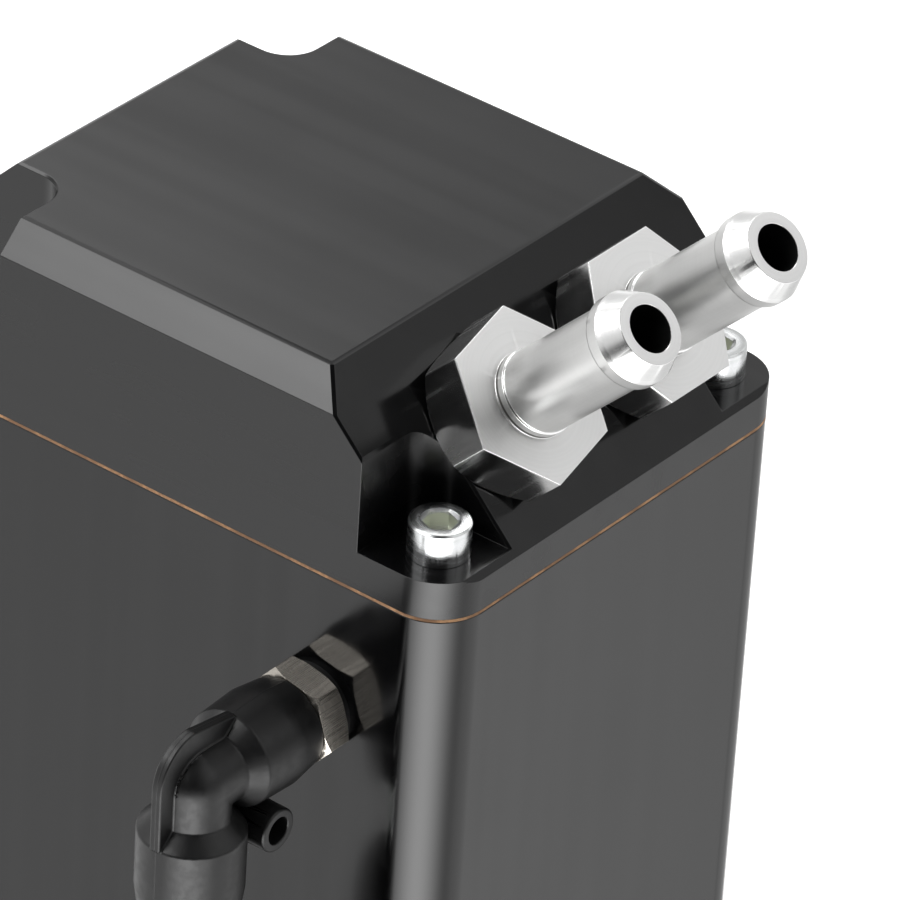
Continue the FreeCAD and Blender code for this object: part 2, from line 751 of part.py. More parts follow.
def all_nodes():
    """Every piece of the catch can, by node name."""
    nodes = {"lid": lid(),
             "lid_gasket": ring_gasket(tank_top_z),
             "tank_body": tank_body(),
             "base_gasket": ring_gasket(base_thickness),
             "base_plate": base_plate(),
             "baffle_plate": baffle_plate(),
             "drain_plug": drain_plug(),
             "drain_washer": drain_washer(),
             "lid_screws": screw_group(lid_screw(), lid_base_z + pocket_floor, lid_screw_turns),
             "base_screws": screw_group(base_screw(), base_screw_sink, base_screw_turns),
             "sight_tube": sight_tube()}
    for name, side, hex_turn in (("inlet", -1, port_hex_turns[0]), ("outlet", 1, port_hex_turns[1])):
        nodes[name + "_barb"] = placed(barb(hex_turn), port_placement(side))
        nodes[name + "_o_ring"] = placed(barb_seal(), port_placement(side))
    for name, placement, hex_turn in elbows():
        nodes[name + "_elbow_stem"] = placed(stem(hex_turn), placement)
        nodes[name + "_elbow_seal"] = placed(stem_seal(), placement)
        nodes[name + "_elbow_body"] = placed(elbow_body(), placement)
        nodes[name + "_guide_ring"] = placed(guide_ring(), placement)
        nodes[name + "_grip_ring"] = placed(grip_ring(), placement)
        nodes[name + "_tube_seal"] = placed(tube_seal(), placement)
        nodes[name + "_release_collar"] = placed(collar(), placement)
    return nodes


os.makedirs("parts", exist_ok=True)
for node_name, node_shape in all_nodes().items():
    node_shape.exportStep("parts/" + node_name + ".step")
    print(node_name, len(node_shape.Solids), round(node_shape.Volume, 1), node_shape.isValid())
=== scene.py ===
"""Studio scene of the oil catch can: anodised body, hose barbs, cap screws and sight tube.

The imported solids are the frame. Round and hexagonal pieces are worked out again as turned
surfaces with finely broken edges, the milled pieces and the elbow mouldings are merged copies
of their solids with rounded edges, and every piece gets a procedural finish.
"""

import json
import logging
import math
from dataclasses import dataclass, field, replace
from enum import Enum
from typing import ClassVar

import bmesh
import bpy
import numpy as np
from mathutils import Matrix, Vector

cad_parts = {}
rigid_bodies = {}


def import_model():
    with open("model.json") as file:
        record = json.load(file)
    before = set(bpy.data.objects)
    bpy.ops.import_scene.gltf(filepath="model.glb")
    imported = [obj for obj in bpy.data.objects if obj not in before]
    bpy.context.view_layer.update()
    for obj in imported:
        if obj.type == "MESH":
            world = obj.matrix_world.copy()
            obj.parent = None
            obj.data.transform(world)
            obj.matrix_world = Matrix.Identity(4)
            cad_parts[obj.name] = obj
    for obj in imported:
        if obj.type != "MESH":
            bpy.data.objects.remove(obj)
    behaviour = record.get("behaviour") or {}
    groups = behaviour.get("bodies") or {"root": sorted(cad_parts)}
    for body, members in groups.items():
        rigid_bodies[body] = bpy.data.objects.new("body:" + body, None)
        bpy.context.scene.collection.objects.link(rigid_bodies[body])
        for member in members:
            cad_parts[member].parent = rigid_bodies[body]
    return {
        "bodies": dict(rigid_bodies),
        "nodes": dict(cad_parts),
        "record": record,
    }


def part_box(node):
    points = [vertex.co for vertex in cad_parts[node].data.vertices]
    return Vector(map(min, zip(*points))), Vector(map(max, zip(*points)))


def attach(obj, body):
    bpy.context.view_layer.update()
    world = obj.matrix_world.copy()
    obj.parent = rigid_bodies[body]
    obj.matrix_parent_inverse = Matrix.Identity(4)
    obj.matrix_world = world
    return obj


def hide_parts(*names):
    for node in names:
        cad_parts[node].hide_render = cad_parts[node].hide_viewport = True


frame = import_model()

MM = 0.001
SAME_POINT = 2e-6
SAME_PLANE = math.radians(0.2)
TURNED_UV = "turning"
DRAWN = "drawn"
WHITE = (1.0, 1.0, 1.0, 1.0)
Pair = tuple[float, float]
Triple = tuple[float, float, float]
Socket = bpy.types.NodeSocket
Layers = tuple[Socket, Socket, Socket]
log = logging.getLogger("catch_can")


class Body(Enum):
    """The bodies of the frame that pieces ride on."""

    CAN = "can"
    UPPER_COLLAR = "upper_collar"
    LOWER_COLLAR = "lower_collar"


class Slot(Enum):
    """The record's material slots."""

    ANODISED = "black_anodised"
    GASKET = "gasket_tan"
    ALUMINIUM = "bare_aluminium"
    TURNED = "turned_aluminium"
    ZINC = "zinc_steel"
    CLEAR = "clear_tube"
    RUBBER = "black_rubber"
    NICKEL = "nickel_brass"
    PLASTIC = "black_plastic"
    COLLAR = "collar_plastic"


class Level(Enum):
    """The two heights of the push-in elbows."""

    UPPER = "upper"
    LOWER = "lower"


# Sizes read from the frame


def box_mm(node: str) -> tuple[np.ndarray, np.ndarray]:
    """Lowest and highest corner of a solid of the frame, in millimetres."""
    low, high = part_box(node)
    return np.array(low) / MM, np.array(high) / MM


def mount(name: str) -> dict:
    """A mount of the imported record: its place, axis and dimensions."""
    return next(item for item in frame["record"]["mounts"] if item["name"] == name)


# Node books and shared effects


class NodeBook:
    """A node tree being written: adds nodes, sets their inputs and joins them."""

    def __init__(self, tree: bpy.types.NodeTree) -> None:
        """Keeps the tree that the nodes go into."""
        self.tree = tree

    def add(self, kind: str, inputs: dict | None = None, **settings: object) -> bpy.types.Node:
        """Adds a node.

        Args:
            kind: The node's type name, without the leading word ShaderNode.
            inputs: Values or output sockets, by input name or number.
            settings: The node's own properties.

        Returns:
            The new node.
        """
        node = self.tree.nodes.new("ShaderNode" + kind)
        for name, value in settings.items():
            setattr(node, name, value)
        for key, value in (inputs or {}).items():
            self.feed(node.inputs[key], value)
        return node

    def feed(self, socket: Socket, value: object) -> None:
        """Joins an output to a socket, or sets the socket's plain value.

        Args:
            socket: The input socket.
            value: An output socket, or a plain value that the input takes.
        """
        if isinstance(value, Socket):
            self.tree.links.new(value, socket)
        else:
            socket.default_value = value

    def math(self, operation: str, *values: object) -> Socket:
        """One arithmetic step on numbers or sockets, and its output."""
        return self.add("Math", dict(enumerate(values)), operation=operation).outputs[0]

    def total(self, first: object, *others: object) -> Socket:
        """Adds values in order.

        Args:
            first: A number or socket.
            others: The numbers or sockets to add to it.

        Returns:
            The sum.
        """
        for other in others:
            first = self.math("ADD", first, other)
        return first

    def vector(self, operation: str, *values: object) -> Socket:
        """One step of vector arithmetic, and its output, which for a dot product is a number."""
        node = self.add("VectorMath", dict(enumerate(values)), operation=operation)
        return node.outputs["Value" if operation == "DOT_PRODUCT" else "Vector"]

    def part(self, vector: object, index: int) -> Socket:
        """One coordinate of a vector."""
        return self.add("SeparateXYZ", {0: vector}).outputs[index]

    def normal(self) -> Socket:
        """The surface's own normal."""
        return self.add("NewGeometry").outputs["Normal"]

    def spread(self, value: object, low: float, high: float, to_low: float = 0.0,
               to_high: float = 1.0, smooth: bool = True) -> Socket:
        """Maps a range of values to another range, and holds what lies past its ends.

        Args:
            value: The number or socket to map.
            low: Value that gives to_low.
            high: Value that gives to_high.
            to_low: First result.
            to_high: Last result.
            smooth: Whether the ends are soft.

        Returns:
            The mapped value.
        """
        kind = "SMOOTHSTEP" if smooth else "LINEAR"
        node = self.add("MapRange", {0: value, 1: low, 2: high, 3: to_low, 4: to_high},
                        interpolation_type=kind)
        return node.outputs[0]

    def mix(self, factor: object, first: object, second: object) -> Socket:
        """Mixes two numbers by a factor."""
        return self.add("Mix", {0: factor, 2: first, 3: second}, data_type="FLOAT").outputs[0]

    def blend_colour(self, factor: object, first: Socket | Triple, second: Triple) -> Socket:
        """Mixes two colours by a factor.

        Args:
            factor: Share of the second colour.
            first: A colour socket, or red, green and blue.
            second: Red, green and blue.

        Returns:
            The colour.
        """
        start = first if isinstance(first, Socket) else (*first, 1.0)
        node = self.add("Mix", {0: factor, 6: start, 7: (*second, 1.0)}, data_type="RGBA")
        return node.outputs[2]

    def noise(self, place: object, scale: object, detail: float, roughness: float = 0.5) -> Socket:
        """Noise about 0.5 at a place, with its grain given by scale."""
        return self.add("TexNoise", {"Vector": place, "Scale": scale, "Detail": detail,
                                     "Roughness": roughness}).outputs[0]

    def bump(self, height: object, distance: float, below: Socket | None = None) -> Socket:
        """Turns a height into a bent normal.

        Args:
            height: The height, from 0 to 1.
            distance: What a height of 1 measures, in metres.
            below: Another bent normal that this one goes on top of.

        Returns:
            The normal.
        """
        node = self.add("Bump", {"Height": height, "Distance": distance, "Strength": 1.0})
        if below is not None:
            self.feed(node.inputs["Normal"], below)
        return node.outputs[0]


class Effect:
    """A shared effect: a node group with named inputs and outputs, built once."""

    def __init__(self, name: str, inputs: dict[str, float | Triple], outputs: tuple[str, ...]) -> None:
        """Makes the empty group.

        Args:
            name: The group's name.
            inputs: Default values by input name; three numbers make a vector socket.
            outputs: Names of the outputs, which are numbers.
        """
        self.group = bpy.data.node_groups.new(name, "ShaderNodeTree")
        self.book = NodeBook(self.group)
        for key, value in inputs.items():
            kind = "NodeSocketFloat" if isinstance(value, float) else "NodeSocketVector"
            socket = self.group.interface.new_socket(key, in_out="INPUT", socket_type=kind)
            socket.default_value = value
        for key in outputs:
            self.group.interface.new_socket(key, in_out="OUTPUT", socket_type="NodeSocketFloat")
        self.start = self.group.nodes.new("NodeGroupInput").outputs
        self.end = self.group.nodes.new("NodeGroupOutput").inputs

    def give(self, **values: Socket) -> "Effect":
        """Joins a value to each output of the group.

        Args:
            values: The values by output name.

        Returns:
            The finished effect.
        """
        for key, value in values.items():
            self.book.feed(self.end[key], value)
        return self

    def use(self, book: NodeBook, **values: object) -> bpy.types.bpy_prop_collection:
        """Places the group in a material.

        Args:
            book: The material's node book.
            values: Inputs by name, with underscores for spaces.

        Returns:
            The group's outputs, read by name.
        """
        node = book.tree.nodes.new("ShaderNodeGroup")
        node.node_tree = self.group
        for key, value in values.items():
            book.feed(node.inputs[key.replace("_", " ")], value)
        return node.outputs


class SharedEffects:
    """The effects that more than one finish uses."""

    mottle_ends: Pair = (0.3, 0.7)
    streak_ends: Pair = (0.35, 0.65)
    broad_lines: float = 0.16
    broad_bands: float = 0.17
    wear_patches: float = 900.0
    wear_ends: Pair = (0.01, 0.2)

    def __init__(self) -> None:
        """Builds every group once."""
        self.grain = self.build_grain()
        self.lines = self.build_lines()
        self.rings = self.build_rings()
        self.wear = self.build_wear()

    def build_grain(self) -> Effect:
        """Fine grain and a broad mottle: two noises of one place, each at its own scale.

        Returns:
            The effect, with the grain as Height and the mottle from 0 to 1.
        """
        effect = Effect("fine_grain", {"Place": (0.0, 0.0, 0.0), "Fine Scale": 3000.0,
                                       "Broad Scale": 60.0}, ("Height", "Mottle"))
        book, start = effect.book, effect.start
        broad = book.noise(start["Place"], start["Broad Scale"], 4.0)
        return effect.give(Height=book.noise(start["Place"], start["Fine Scale"], 2.0),
                           Mottle=book.spread(broad, *self.mottle_ends))

    def build_lines(self) -> Effect:
        """Straight tool or drawing lines: noise of a place that is squeezed along the lines.

        Returns:
            The effect, with fine lines as Height and broad ones as Streaks.
        """
        effect = Effect("straight_lines", {"Place": (0.0, 0.0, 0.0), "Squeeze": (1.0, 1.0, 1.0),
                                           "Scale": 4000.0}, ("Height", "Streaks"))
        book, start = effect.book, effect.start
        place = book.vector("MULTIPLY", start["Place"], start["Squeeze"])
        broad = book.noise(place, book.math("MULTIPLY", start["Scale"], self.broad_lines), 1.0)
        return effect.give(Height=book.noise(place, start["Scale"], 3.0, 0.6),
                           Streaks=book.spread(broad, *self.streak_ends))

    def build_rings(self) -> Effect:
        """Turning marks: noise of the length along a turned profile, and hardly of the angle.

        The noise is read at the length times the scale, and at the sine and cosine of the angle
        times the wander.

        Returns:
            The effect, with fine rings as Height and broad ones as Bands.
        """
        effect = Effect("turning_marks", {"Turning": (0.0, 0.0, 0.0), "Scale": 5000.0,
                                          "Wander": 1.5}, ("Height", "Bands"))
        book, start = effect.book, effect.start
        angle = book.math("MULTIPLY", book.part(start["Turning"], 0), math.tau)
        along = book.math("MULTIPLY", book.part(start["Turning"], 1), start["Scale"])
        sideways = [book.math("MULTIPLY", book.math(wave, angle), start["Wander"])
                    for wave in ("SINE", "COSINE")]
        place = book.add("CombineXYZ", dict(enumerate((along, *sideways)))).outputs[0]
        bands = book.noise(place, self.broad_bands, 1.0)
        return effect.give(Height=book.noise(place, 1.0, 2.0),
                           Bands=book.spread(bands, *self.streak_ends))

    def build_wear(self) -> Effect:
        """Edge wear: how far a rounded normal leaves the true one, broken up by noise.

        Returns:
            The effect, whose Mask is Amount on a worn edge.
        """
        effect = Effect("edge_wear", {"Place": (0.0, 0.0, 0.0), "Reach": 0.0004, "Amount": 1.0},
                        ("Mask",))
        book, start = effect.book, effect.start
        rounded = book.add("Bevel", {"Radius": start["Reach"]}, samples=4).outputs[0]
        off = book.math("SUBTRACT", 1.0, book.vector("DOT_PRODUCT", rounded, book.normal()))
        broken = book.noise(start["Place"], self.wear_patches, 3.0)
        mask = book.math("MULTIPLY", book.spread(off, *self.wear_ends),
                         book.spread(broken, *self.streak_ends))
        return effect.give(Mask=book.math("MULTIPLY", mask, start["Amount"]))


effects = SharedEffects()


def new_material(name: str, **constants: object) -> tuple[bpy.types.Material, NodeBook, bpy.types.Node]:
    """Makes a material with one principled shader.

    Args:
        name: The material's name.
        constants: Plain values for the shader's own sockets, with underscores for spaces.

    Returns:
        The material, its node book and its shader node.
    """
    material = bpy.data.materials.new(name)
    material.use_nodes = True
    shader = material.node_tree.nodes["Principled BSDF"]
    for key, value in constants.items():
        shader.inputs[key.replace("_", " ")].default_value = value
    return material, NodeBook(material.node_tree), shader


# Finishes


@dataclass(frozen=True)
class Finish:
    """A procedural finish, whose colour, roughness and normal vary over the piece."""

    constants: ClassVar[dict[str, float]] = {}
    name: str

    def layers(self, book: NodeBook, place: Socket) -> Layers:
        """Works out the finish at a place on the piece.

        Args:
            book: The material's node book.
            place: The place, in the piece's own coordinates.

        Returns:
            The colour, roughness and normal.
        """
        raise NotImplementedError

    def make(self) -> bpy.types.Material:
        """Makes the finish.

        Returns:
            The material.
        """
        material, book, shader = new_material(self.name, **self.constants)
        layers = self.layers(book, book.add("TexCoord").outputs["Object"])
        for name, layer in zip(("Base Color", "Roughness", "Normal"), layers):
            book.feed(shader.inputs[name], layer)
        return material


@dataclass(frozen=True)
class BlackAnodised(Finish):
    """Black anodised aluminium: a deep, clear black with faint tool lines and paler edges."""

    constants: ClassVar[dict[str, float]] = {"IOR": 1.5}
    black: Triple = (0.0032, 0.0032, 0.0035)
    worn: Triple = (0.030, 0.030, 0.031)
    roughness: float = 0.13
    side_roughness: float = 0.13
    side_ends: Pair = (0.25, 0.5)
    squeeze: Triple = (1.0, 1.0, 0.02)
    streak_gloss: Pair = (-0.02, 0.025)
    mottle_gloss: Pair = (-0.015, 0.02)
    worn_gloss: float = 0.12
    line_depth: float = 0.0005 * MM
    grain_depth: float = 0.0006 * MM

    def layers(self, book: NodeBook, place: Socket) -> Layers:
        """Works out the finish at a place on the piece.

        Args:
            book: The material's node book.
            place: The place, in the piece's own coordinates.

        Returns:
            The colour, roughness and normal.
        """
        lines = effects.lines.use(book, Place=place, Squeeze=self.squeeze, Scale=1400.0)
        grain = effects.grain.use(book, Place=place, Fine_Scale=5200.0, Broad_Scale=38.0)
        worn = effects.wear.use(book, Place=place, Reach=0.35 * MM, Amount=0.25)["Mask"]
        upright = book.math("ABSOLUTE", book.part(book.normal(), 2))
        gloss = book.total(
            book.spread(upright, *self.side_ends, self.side_roughness, self.roughness),
            book.spread(lines["Streaks"], 0.0, 1.0, *self.streak_gloss, smooth=False),
            book.spread(grain["Mottle"], 0.0, 1.0, *self.mottle_gloss, smooth=False),
            book.math("MULTIPLY", worn, self.worn_gloss))
        fine = book.bump(grain["Height"], self.grain_depth)
        return (book.blend_colour(worn, self.black, self.worn), gloss,
                book.bump(lines["Height"], self.line_depth, below=fine))


@dataclass(frozen=True)
class GasketPaper(Finish):
    """Tan fibre gasket: a matte brown with short fibres and darker patches."""

    constants: ClassVar[dict[str, float]] = {"IOR": 1.45}
    light: Triple = (0.60, 0.34, 0.18)
    dark: Triple = (0.30, 0.165, 0.09)
    light_ends: Pair = (0.1, 0.5)
    gloss: Pair = (0.7, 0.92)
    fibre_depth: float = 0.06 * MM

    def layers(self, book: NodeBook, place: Socket) -> Layers:
        """Works out the finish at a place on the piece.

        Args:
            book: The material's node book.
            place: The place, in the piece's own coordinates.

        Returns:
            The colour, roughness and normal.
        """
        grain = effects.grain.use(book, Place=place, Fine_Scale=2600.0, Broad_Scale=210.0)
        patches = book.math("MULTIPLY", grain["Mottle"], grain["Height"])
        return (book.blend_colour(book.spread(patches, *self.light_ends), self.dark, self.light),
                book.spread(grain["Height"], *effects.mottle_ends, *self.gloss),
                book.bump(grain["Height"], self.fibre_depth))


@dataclass(frozen=True)
class TurnedMetal(Finish):
    """Bright turned metal, with drawn lines on hexagon sides where the piece says so.

    All lengths are in metres. Along the profile, everything before bore_end is the wall of a
    bore and has a colour of its own: a dark painted shade on the barbs, a pale tint in the cap
    screws' sockets. Rings of painted shade darken corners at given places along the face axis,
    and the turned sides can be darkened by painted shade.
    """

    constants: ClassVar[dict[str, float]] = {"Metallic": 1.0}
    colour: Triple
    shade: Triple
    turned_roughness: float = 0.24
    drawn_roughness: float = 0.18
    side_roughness: float = 0.24
    face_roughness: float = 0.24
    face_axis: Triple = (0.0, 0.0, 1.0)
    face_ends: Pair = (0.93, 0.99)
    side_ends: Pair = (0.05, 0.3)
    # How far the turned sides are darkened towards the shade colour, as painted shade.
    side_painted_shade: float = 0.0
    side_lines: float = 0.7
    ring_scale: float = 9000.0
    ring_wander: float = 0.6
    ring_depth: float = 0.0012 * MM
    ring_tint: float = 0.55
    ring_gloss: float = 0.08
    mottle_gloss: float = 0.04
    drawn_squeeze: Triple = (9.0, 14.0, 1.0)
    drawn_scale: float = 60.0
    drawn_depth: float = 0.0012 * MM
    scratches: float = 0.0
    scratch_ends: Pair = (0.56, 0.7)
    scratch_depth: float = -0.006 * MM
    # Colour, reach and share of the rings of painted shade in corners.
    painted_shade_colour: Triple = (0.06, 0.055, 0.05)
    painted_shade_ends: Pair = (0.12 * MM, 0.34 * MM)
    painted_shade_share: float = 0.85
    painted_shade_rings: tuple[float, ...] = ()
    bore_end: float = 0.0
    bore_fade: float = 0.2 * MM
    # The bore's wall colour: by default a dark painted shade, as in the barbs' bores.
    bore_tint_and_shade: Triple = (0.22, 0.22, 0.22)

    def layers(self, book: NodeBook, place: Socket) -> Layers:
        """Works out the finish at a place on the piece.

        Args:
            book: The material's node book.
            place: The place, in the piece's own coordinates.

        Returns:
            The colour, roughness and normal.
        """
        turning = book.add("UVMap", uv_map=TURNED_UV).outputs[0]
        drawn = book.add("Attribute", attribute_name=DRAWN, attribute_type="GEOMETRY").outputs["Fac"]
        turned = book.math("SUBTRACT", 1.0, drawn)
        rings = effects.rings.use(book, Turning=turning, Scale=self.ring_scale,
                                  Wander=self.ring_wander)
        lines = effects.lines.use(book, Place=turning, Squeeze=self.drawn_squeeze,
                                  Scale=self.drawn_scale)
        grain = effects.grain.use(book, Place=place, Fine_Scale=4200.0, Broad_Scale=240.0)
        facing = book.vector("DOT_PRODUCT", book.normal(), self.face_axis)
        # Painted shade on the turned sides, stronger the less they face along the face axis; the same
        # share also lays the streaks along the sides.
        sides = book.spread(facing, *self.side_ends, self.side_painted_shade, 0.0)
        along = book.math("MAXIMUM", drawn, book.math("MULTIPLY", sides, self.side_lines))
        streak = book.mix(along, rings["Bands"], lines["Streaks"])
        normal = book.bump(book.math("MULTIPLY", rings["Height"], turned), self.ring_depth)
        normal = book.bump(book.math("MULTIPLY", lines["Height"], drawn), self.drawn_depth,
                           below=normal)
        if self.scratches:
            marks = book.math("MULTIPLY", book.spread(grain["Height"], *self.scratch_ends),
                              self.scratches)
            normal = book.bump(marks, self.scratch_depth, below=normal)
        return (self.tone(book, place, turning, streak, book.math("MULTIPLY", sides, turned)),
                self.gloss(book, facing, drawn, streak, grain["Mottle"]), normal)

    def tone(self, book: NodeBook, place: Socket, turning: Socket, streak: Socket,
             sides: Socket) -> Socket:
        """Colour of the metal, with painted shade on its sides, rings of painted shade and the bore's
        wall over it.

        Args:
            book: The material's node book.
            place: The place on the piece.
            turning: The place on the turned profile.
            streak: Tone of the rings and drawn lines, paler as it rises.
            sides: Share of the darker tone painted on turned sides as shade.

        Returns:
            The colour.
        """
        # The streaks tint the metal, and the sides add their painted shade.
        tint = book.math("MULTIPLY", book.math("SUBTRACT", 1.0, streak), self.ring_tint)
        colour = book.blend_colour(book.math("ADD", tint, sides), self.colour, self.shade)
        height = book.vector("DOT_PRODUCT", place, self.face_axis)
        # Rings of painted shade darken the corners at given heights along the face axis.
        for ring in self.painted_shade_rings:
            off = book.math("ABSOLUTE", book.math("SUBTRACT", height, ring))
            share = book.spread(off, *self.painted_shade_ends, self.painted_shade_share, 0.0)
            colour = book.blend_colour(share, colour, self.painted_shade_colour)
        # The bore's wall gets its own colour: a dark painted shade in the barbs, a pale tint in the cap
        # screws' sockets.
        if self.bore_end:
            inside = book.spread(book.part(turning, 1), self.bore_end - self.bore_fade,
                                 self.bore_end, 1.0, 0.0)
            colour = book.blend_colour(inside, colour, self.bore_tint_and_shade)
        return colour

    def gloss(self, book: NodeBook, facing: Socket, drawn: Socket, streak: Socket,
              mottle: Socket) -> Socket:
        """Roughness of fronts, sides and drawn faces, with streaks and a mottle in it.

        Args:
            book: The material's node book.
            facing: How far the surface faces along the face axis, 1 on a front.
            drawn: Mask of the drawn faces.
            streak: Tone of the rings and drawn lines.
            mottle: Broad mottle of the metal.

        Returns:
            The roughness.
        """
        round_sides = book.spread(facing, *self.side_ends, self.side_roughness,
                                  self.turned_roughness)
        turned = book.mix(book.spread(facing, *self.face_ends), round_sides, self.face_roughness)
        varied = [book.math("MULTIPLY", book.math("SUBTRACT", pattern, 0.5), amount)
                  for pattern, amount in ((streak, self.ring_gloss), (mottle, self.mottle_gloss))]
        return book.total(book.mix(drawn, turned, self.drawn_roughness), *varied)


@dataclass(frozen=True)
class PlainMetal(Finish):
    """Bare sheet or washer metal with a fine grain, read from the piece's place."""

    constants: ClassVar[dict[str, float]] = {"Metallic": 1.0}
    colour: Triple
    shade: Triple
    roughness: float
    mottle_gloss: Pair = (-0.06, 0.08)
    line_tint: float = 0.5
    line_depth: float = 0.002 * MM

    def layers(self, book: NodeBook, place: Socket) -> Layers:
        """Works out the finish at a place on the piece.

        Args:
            book: The material's node book.
            place: The place, in the piece's own coordinates.

        Returns:
            The colour, roughness and normal.
        """
        lines = effects.lines.use(book, Place=place, Squeeze=(1.0, 0.04, 1.0), Scale=3000.0)
        grain = effects.grain.use(book, Place=place, Fine_Scale=4200.0, Broad_Scale=150.0)
        tint = book.math("MULTIPLY", lines["Streaks"], self.line_tint)
        low, high = [self.roughness + change for change in self.mottle_gloss]
        return (book.blend_colour(tint, self.colour, self.shade),
                book.spread(grain["Mottle"], 0.0, 1.0, low, high),
                book.bump(lines["Height"], self.line_depth))


@dataclass(frozen=True)
class MouldedPlastic(Finish):
    """Black moulded nylon: matte, mottled, with fine moulding texture and a parting line."""

    constants: ClassVar[dict[str, float]] = {"IOR": 1.5}
    black: Triple = (0.0055, 0.0055, 0.0058)
    pale: Triple = (0.016, 0.016, 0.0165)
    mottle_tint: float = 0.3
    roughness: float = 0.4
    mottle_gloss: Pair = (-0.03, 0.04)
    fine_share: float = 1.5
    grain_depth: float = 0.005 * MM
    parting_x: float | None = None
    parting_ends: Pair = (0.05 * MM, 0.14 * MM)
    parting_height: float = 0.035 * MM

    def layers(self, book: NodeBook, place: Socket) -> Layers:
        """Works out the finish at a place on the piece.

        Args:
            book: The material's node book.
            place: The place, in the piece's own coordinates.

        Returns:
            The colour, roughness and normal.
        """
        grain = effects.grain.use(book, Place=place, Fine_Scale=3600.0, Broad_Scale=700.0)
        broad = effects.grain.use(book, Place=place, Fine_Scale=1500.0, Broad_Scale=120.0)
        worn = effects.wear.use(book, Place=place, Reach=0.5 * MM, Amount=0.5)["Mask"]
        mask = book.math("ADD", book.math("MULTIPLY", broad["Mottle"], self.mottle_tint), worn)
        low, high = [self.roughness + change for change in self.mottle_gloss]
        fine = book.math("MULTIPLY", grain["Height"], self.fine_share)
        normal = book.bump(book.math("ADD", fine, broad["Height"]), self.grain_depth)
        if self.parting_x is not None:
            off = book.math("ABSOLUTE", book.math("SUBTRACT", book.part(place, 0), self.parting_x))
            ridge = book.spread(off, *self.parting_ends, 1.0, 0.0)
            normal = book.bump(ridge, self.parting_height, below=normal)
        return (book.blend_colour(mask, self.black, self.pale),
                book.spread(grain["Mottle"], 0.0, 1.0, low, high), normal)


@dataclass(frozen=True)
class Rubber(Finish):
    """Black seal rubber: very matte, faintly dusted."""

    constants: ClassVar[dict[str, float]] = {"IOR": 1.5}
    black: Triple = (0.004, 0.004, 0.004)
    dusty: Triple = (0.009, 0.009, 0.009)
    gloss: Pair = (0.5, 0.68)
    grain_depth: float = 0.006 * MM

    def layers(self, book: NodeBook, place: Socket) -> Layers:
        """Works out the finish at a place on the piece.

        Args:
            book: The material's node book.
            place: The place, in the piece's own coordinates.

        Returns:
            The colour, roughness and normal.
        """
        grain = effects.grain.use(book, Place=place, Fine_Scale=2000.0, Broad_Scale=200.0)
        return (book.blend_colour(grain["Mottle"], self.black, self.dusty),
                book.spread(grain["Height"], *effects.mottle_ends, *self.gloss),
                book.bump(grain["Height"], self.grain_depth))


@dataclass(frozen=True)
class ClearTube(Finish):
    """Clear plastic tube, with faint drawing lines along it."""

    constants: ClassVar[dict[str, float]] = {"IOR": 1.47, "Transmission_Weight": 1.0}
    clear: Triple = (0.95, 0.96, 0.95)
    hazy: Triple = (0.90, 0.92, 0.905)
    gloss: Pair = (0.02, 0.06)
    line_depth: float = 0.004 * MM

    def layers(self, book: NodeBook, place: Socket) -> Layers:
        """Works out the finish at a place on the piece.

        Args:
            book: The material's node book.
            place: The place, in the piece's own coordinates.

        Returns:
            The colour, roughness and normal.
        """
        lines = effects.lines.use(book, Place=place, Squeeze=(1.0, 1.0, 0.012), Scale=1500.0)
        return (book.blend_colour(lines["Streaks"], self.clear, self.hazy),
                book.spread(lines["Streaks"], 0.0, 1.0, *self.gloss),
                book.bump(lines["Height"], self.line_depth))


# Surfaces


@dataclass(frozen=True)
class Seat:
    """Where a piece's own frame stands: its origin in metres and its three directions."""

    origin: Triple
    x_axis: Triple
    y_axis: Triple
    z_axis: Triple

    def carry(self, points: np.ndarray) -> np.ndarray:
        """Carries points of the piece's own frame to the shared frame."""
        axes = np.array([self.x_axis, self.y_axis, self.z_axis])
        return np.asarray(self.origin) + points @ axes


@dataclass(frozen=True)
class Corner:
    """One corner of a turned profile, in millimetres, rounded by a radius of blend.

    On a hexagon the radius is half of the width across flats, and a cap limits how far the
    hexagon's corners reach. Faces next to a drawn corner have drawn lines on them.
    """

    radius: float
    height: float
    blend: float = 0.0
    hexagon: bool = False
    drawn: bool = False
    cap: float = math.inf


def flats(half_flats: float, *heights: float) -> tuple[Corner, ...]:
    """Plain corners with drawn lines at given heights of a hexagon's sides."""
    return tuple(Corner(half_flats, height, hexagon=True, drawn=True) for height in heights)


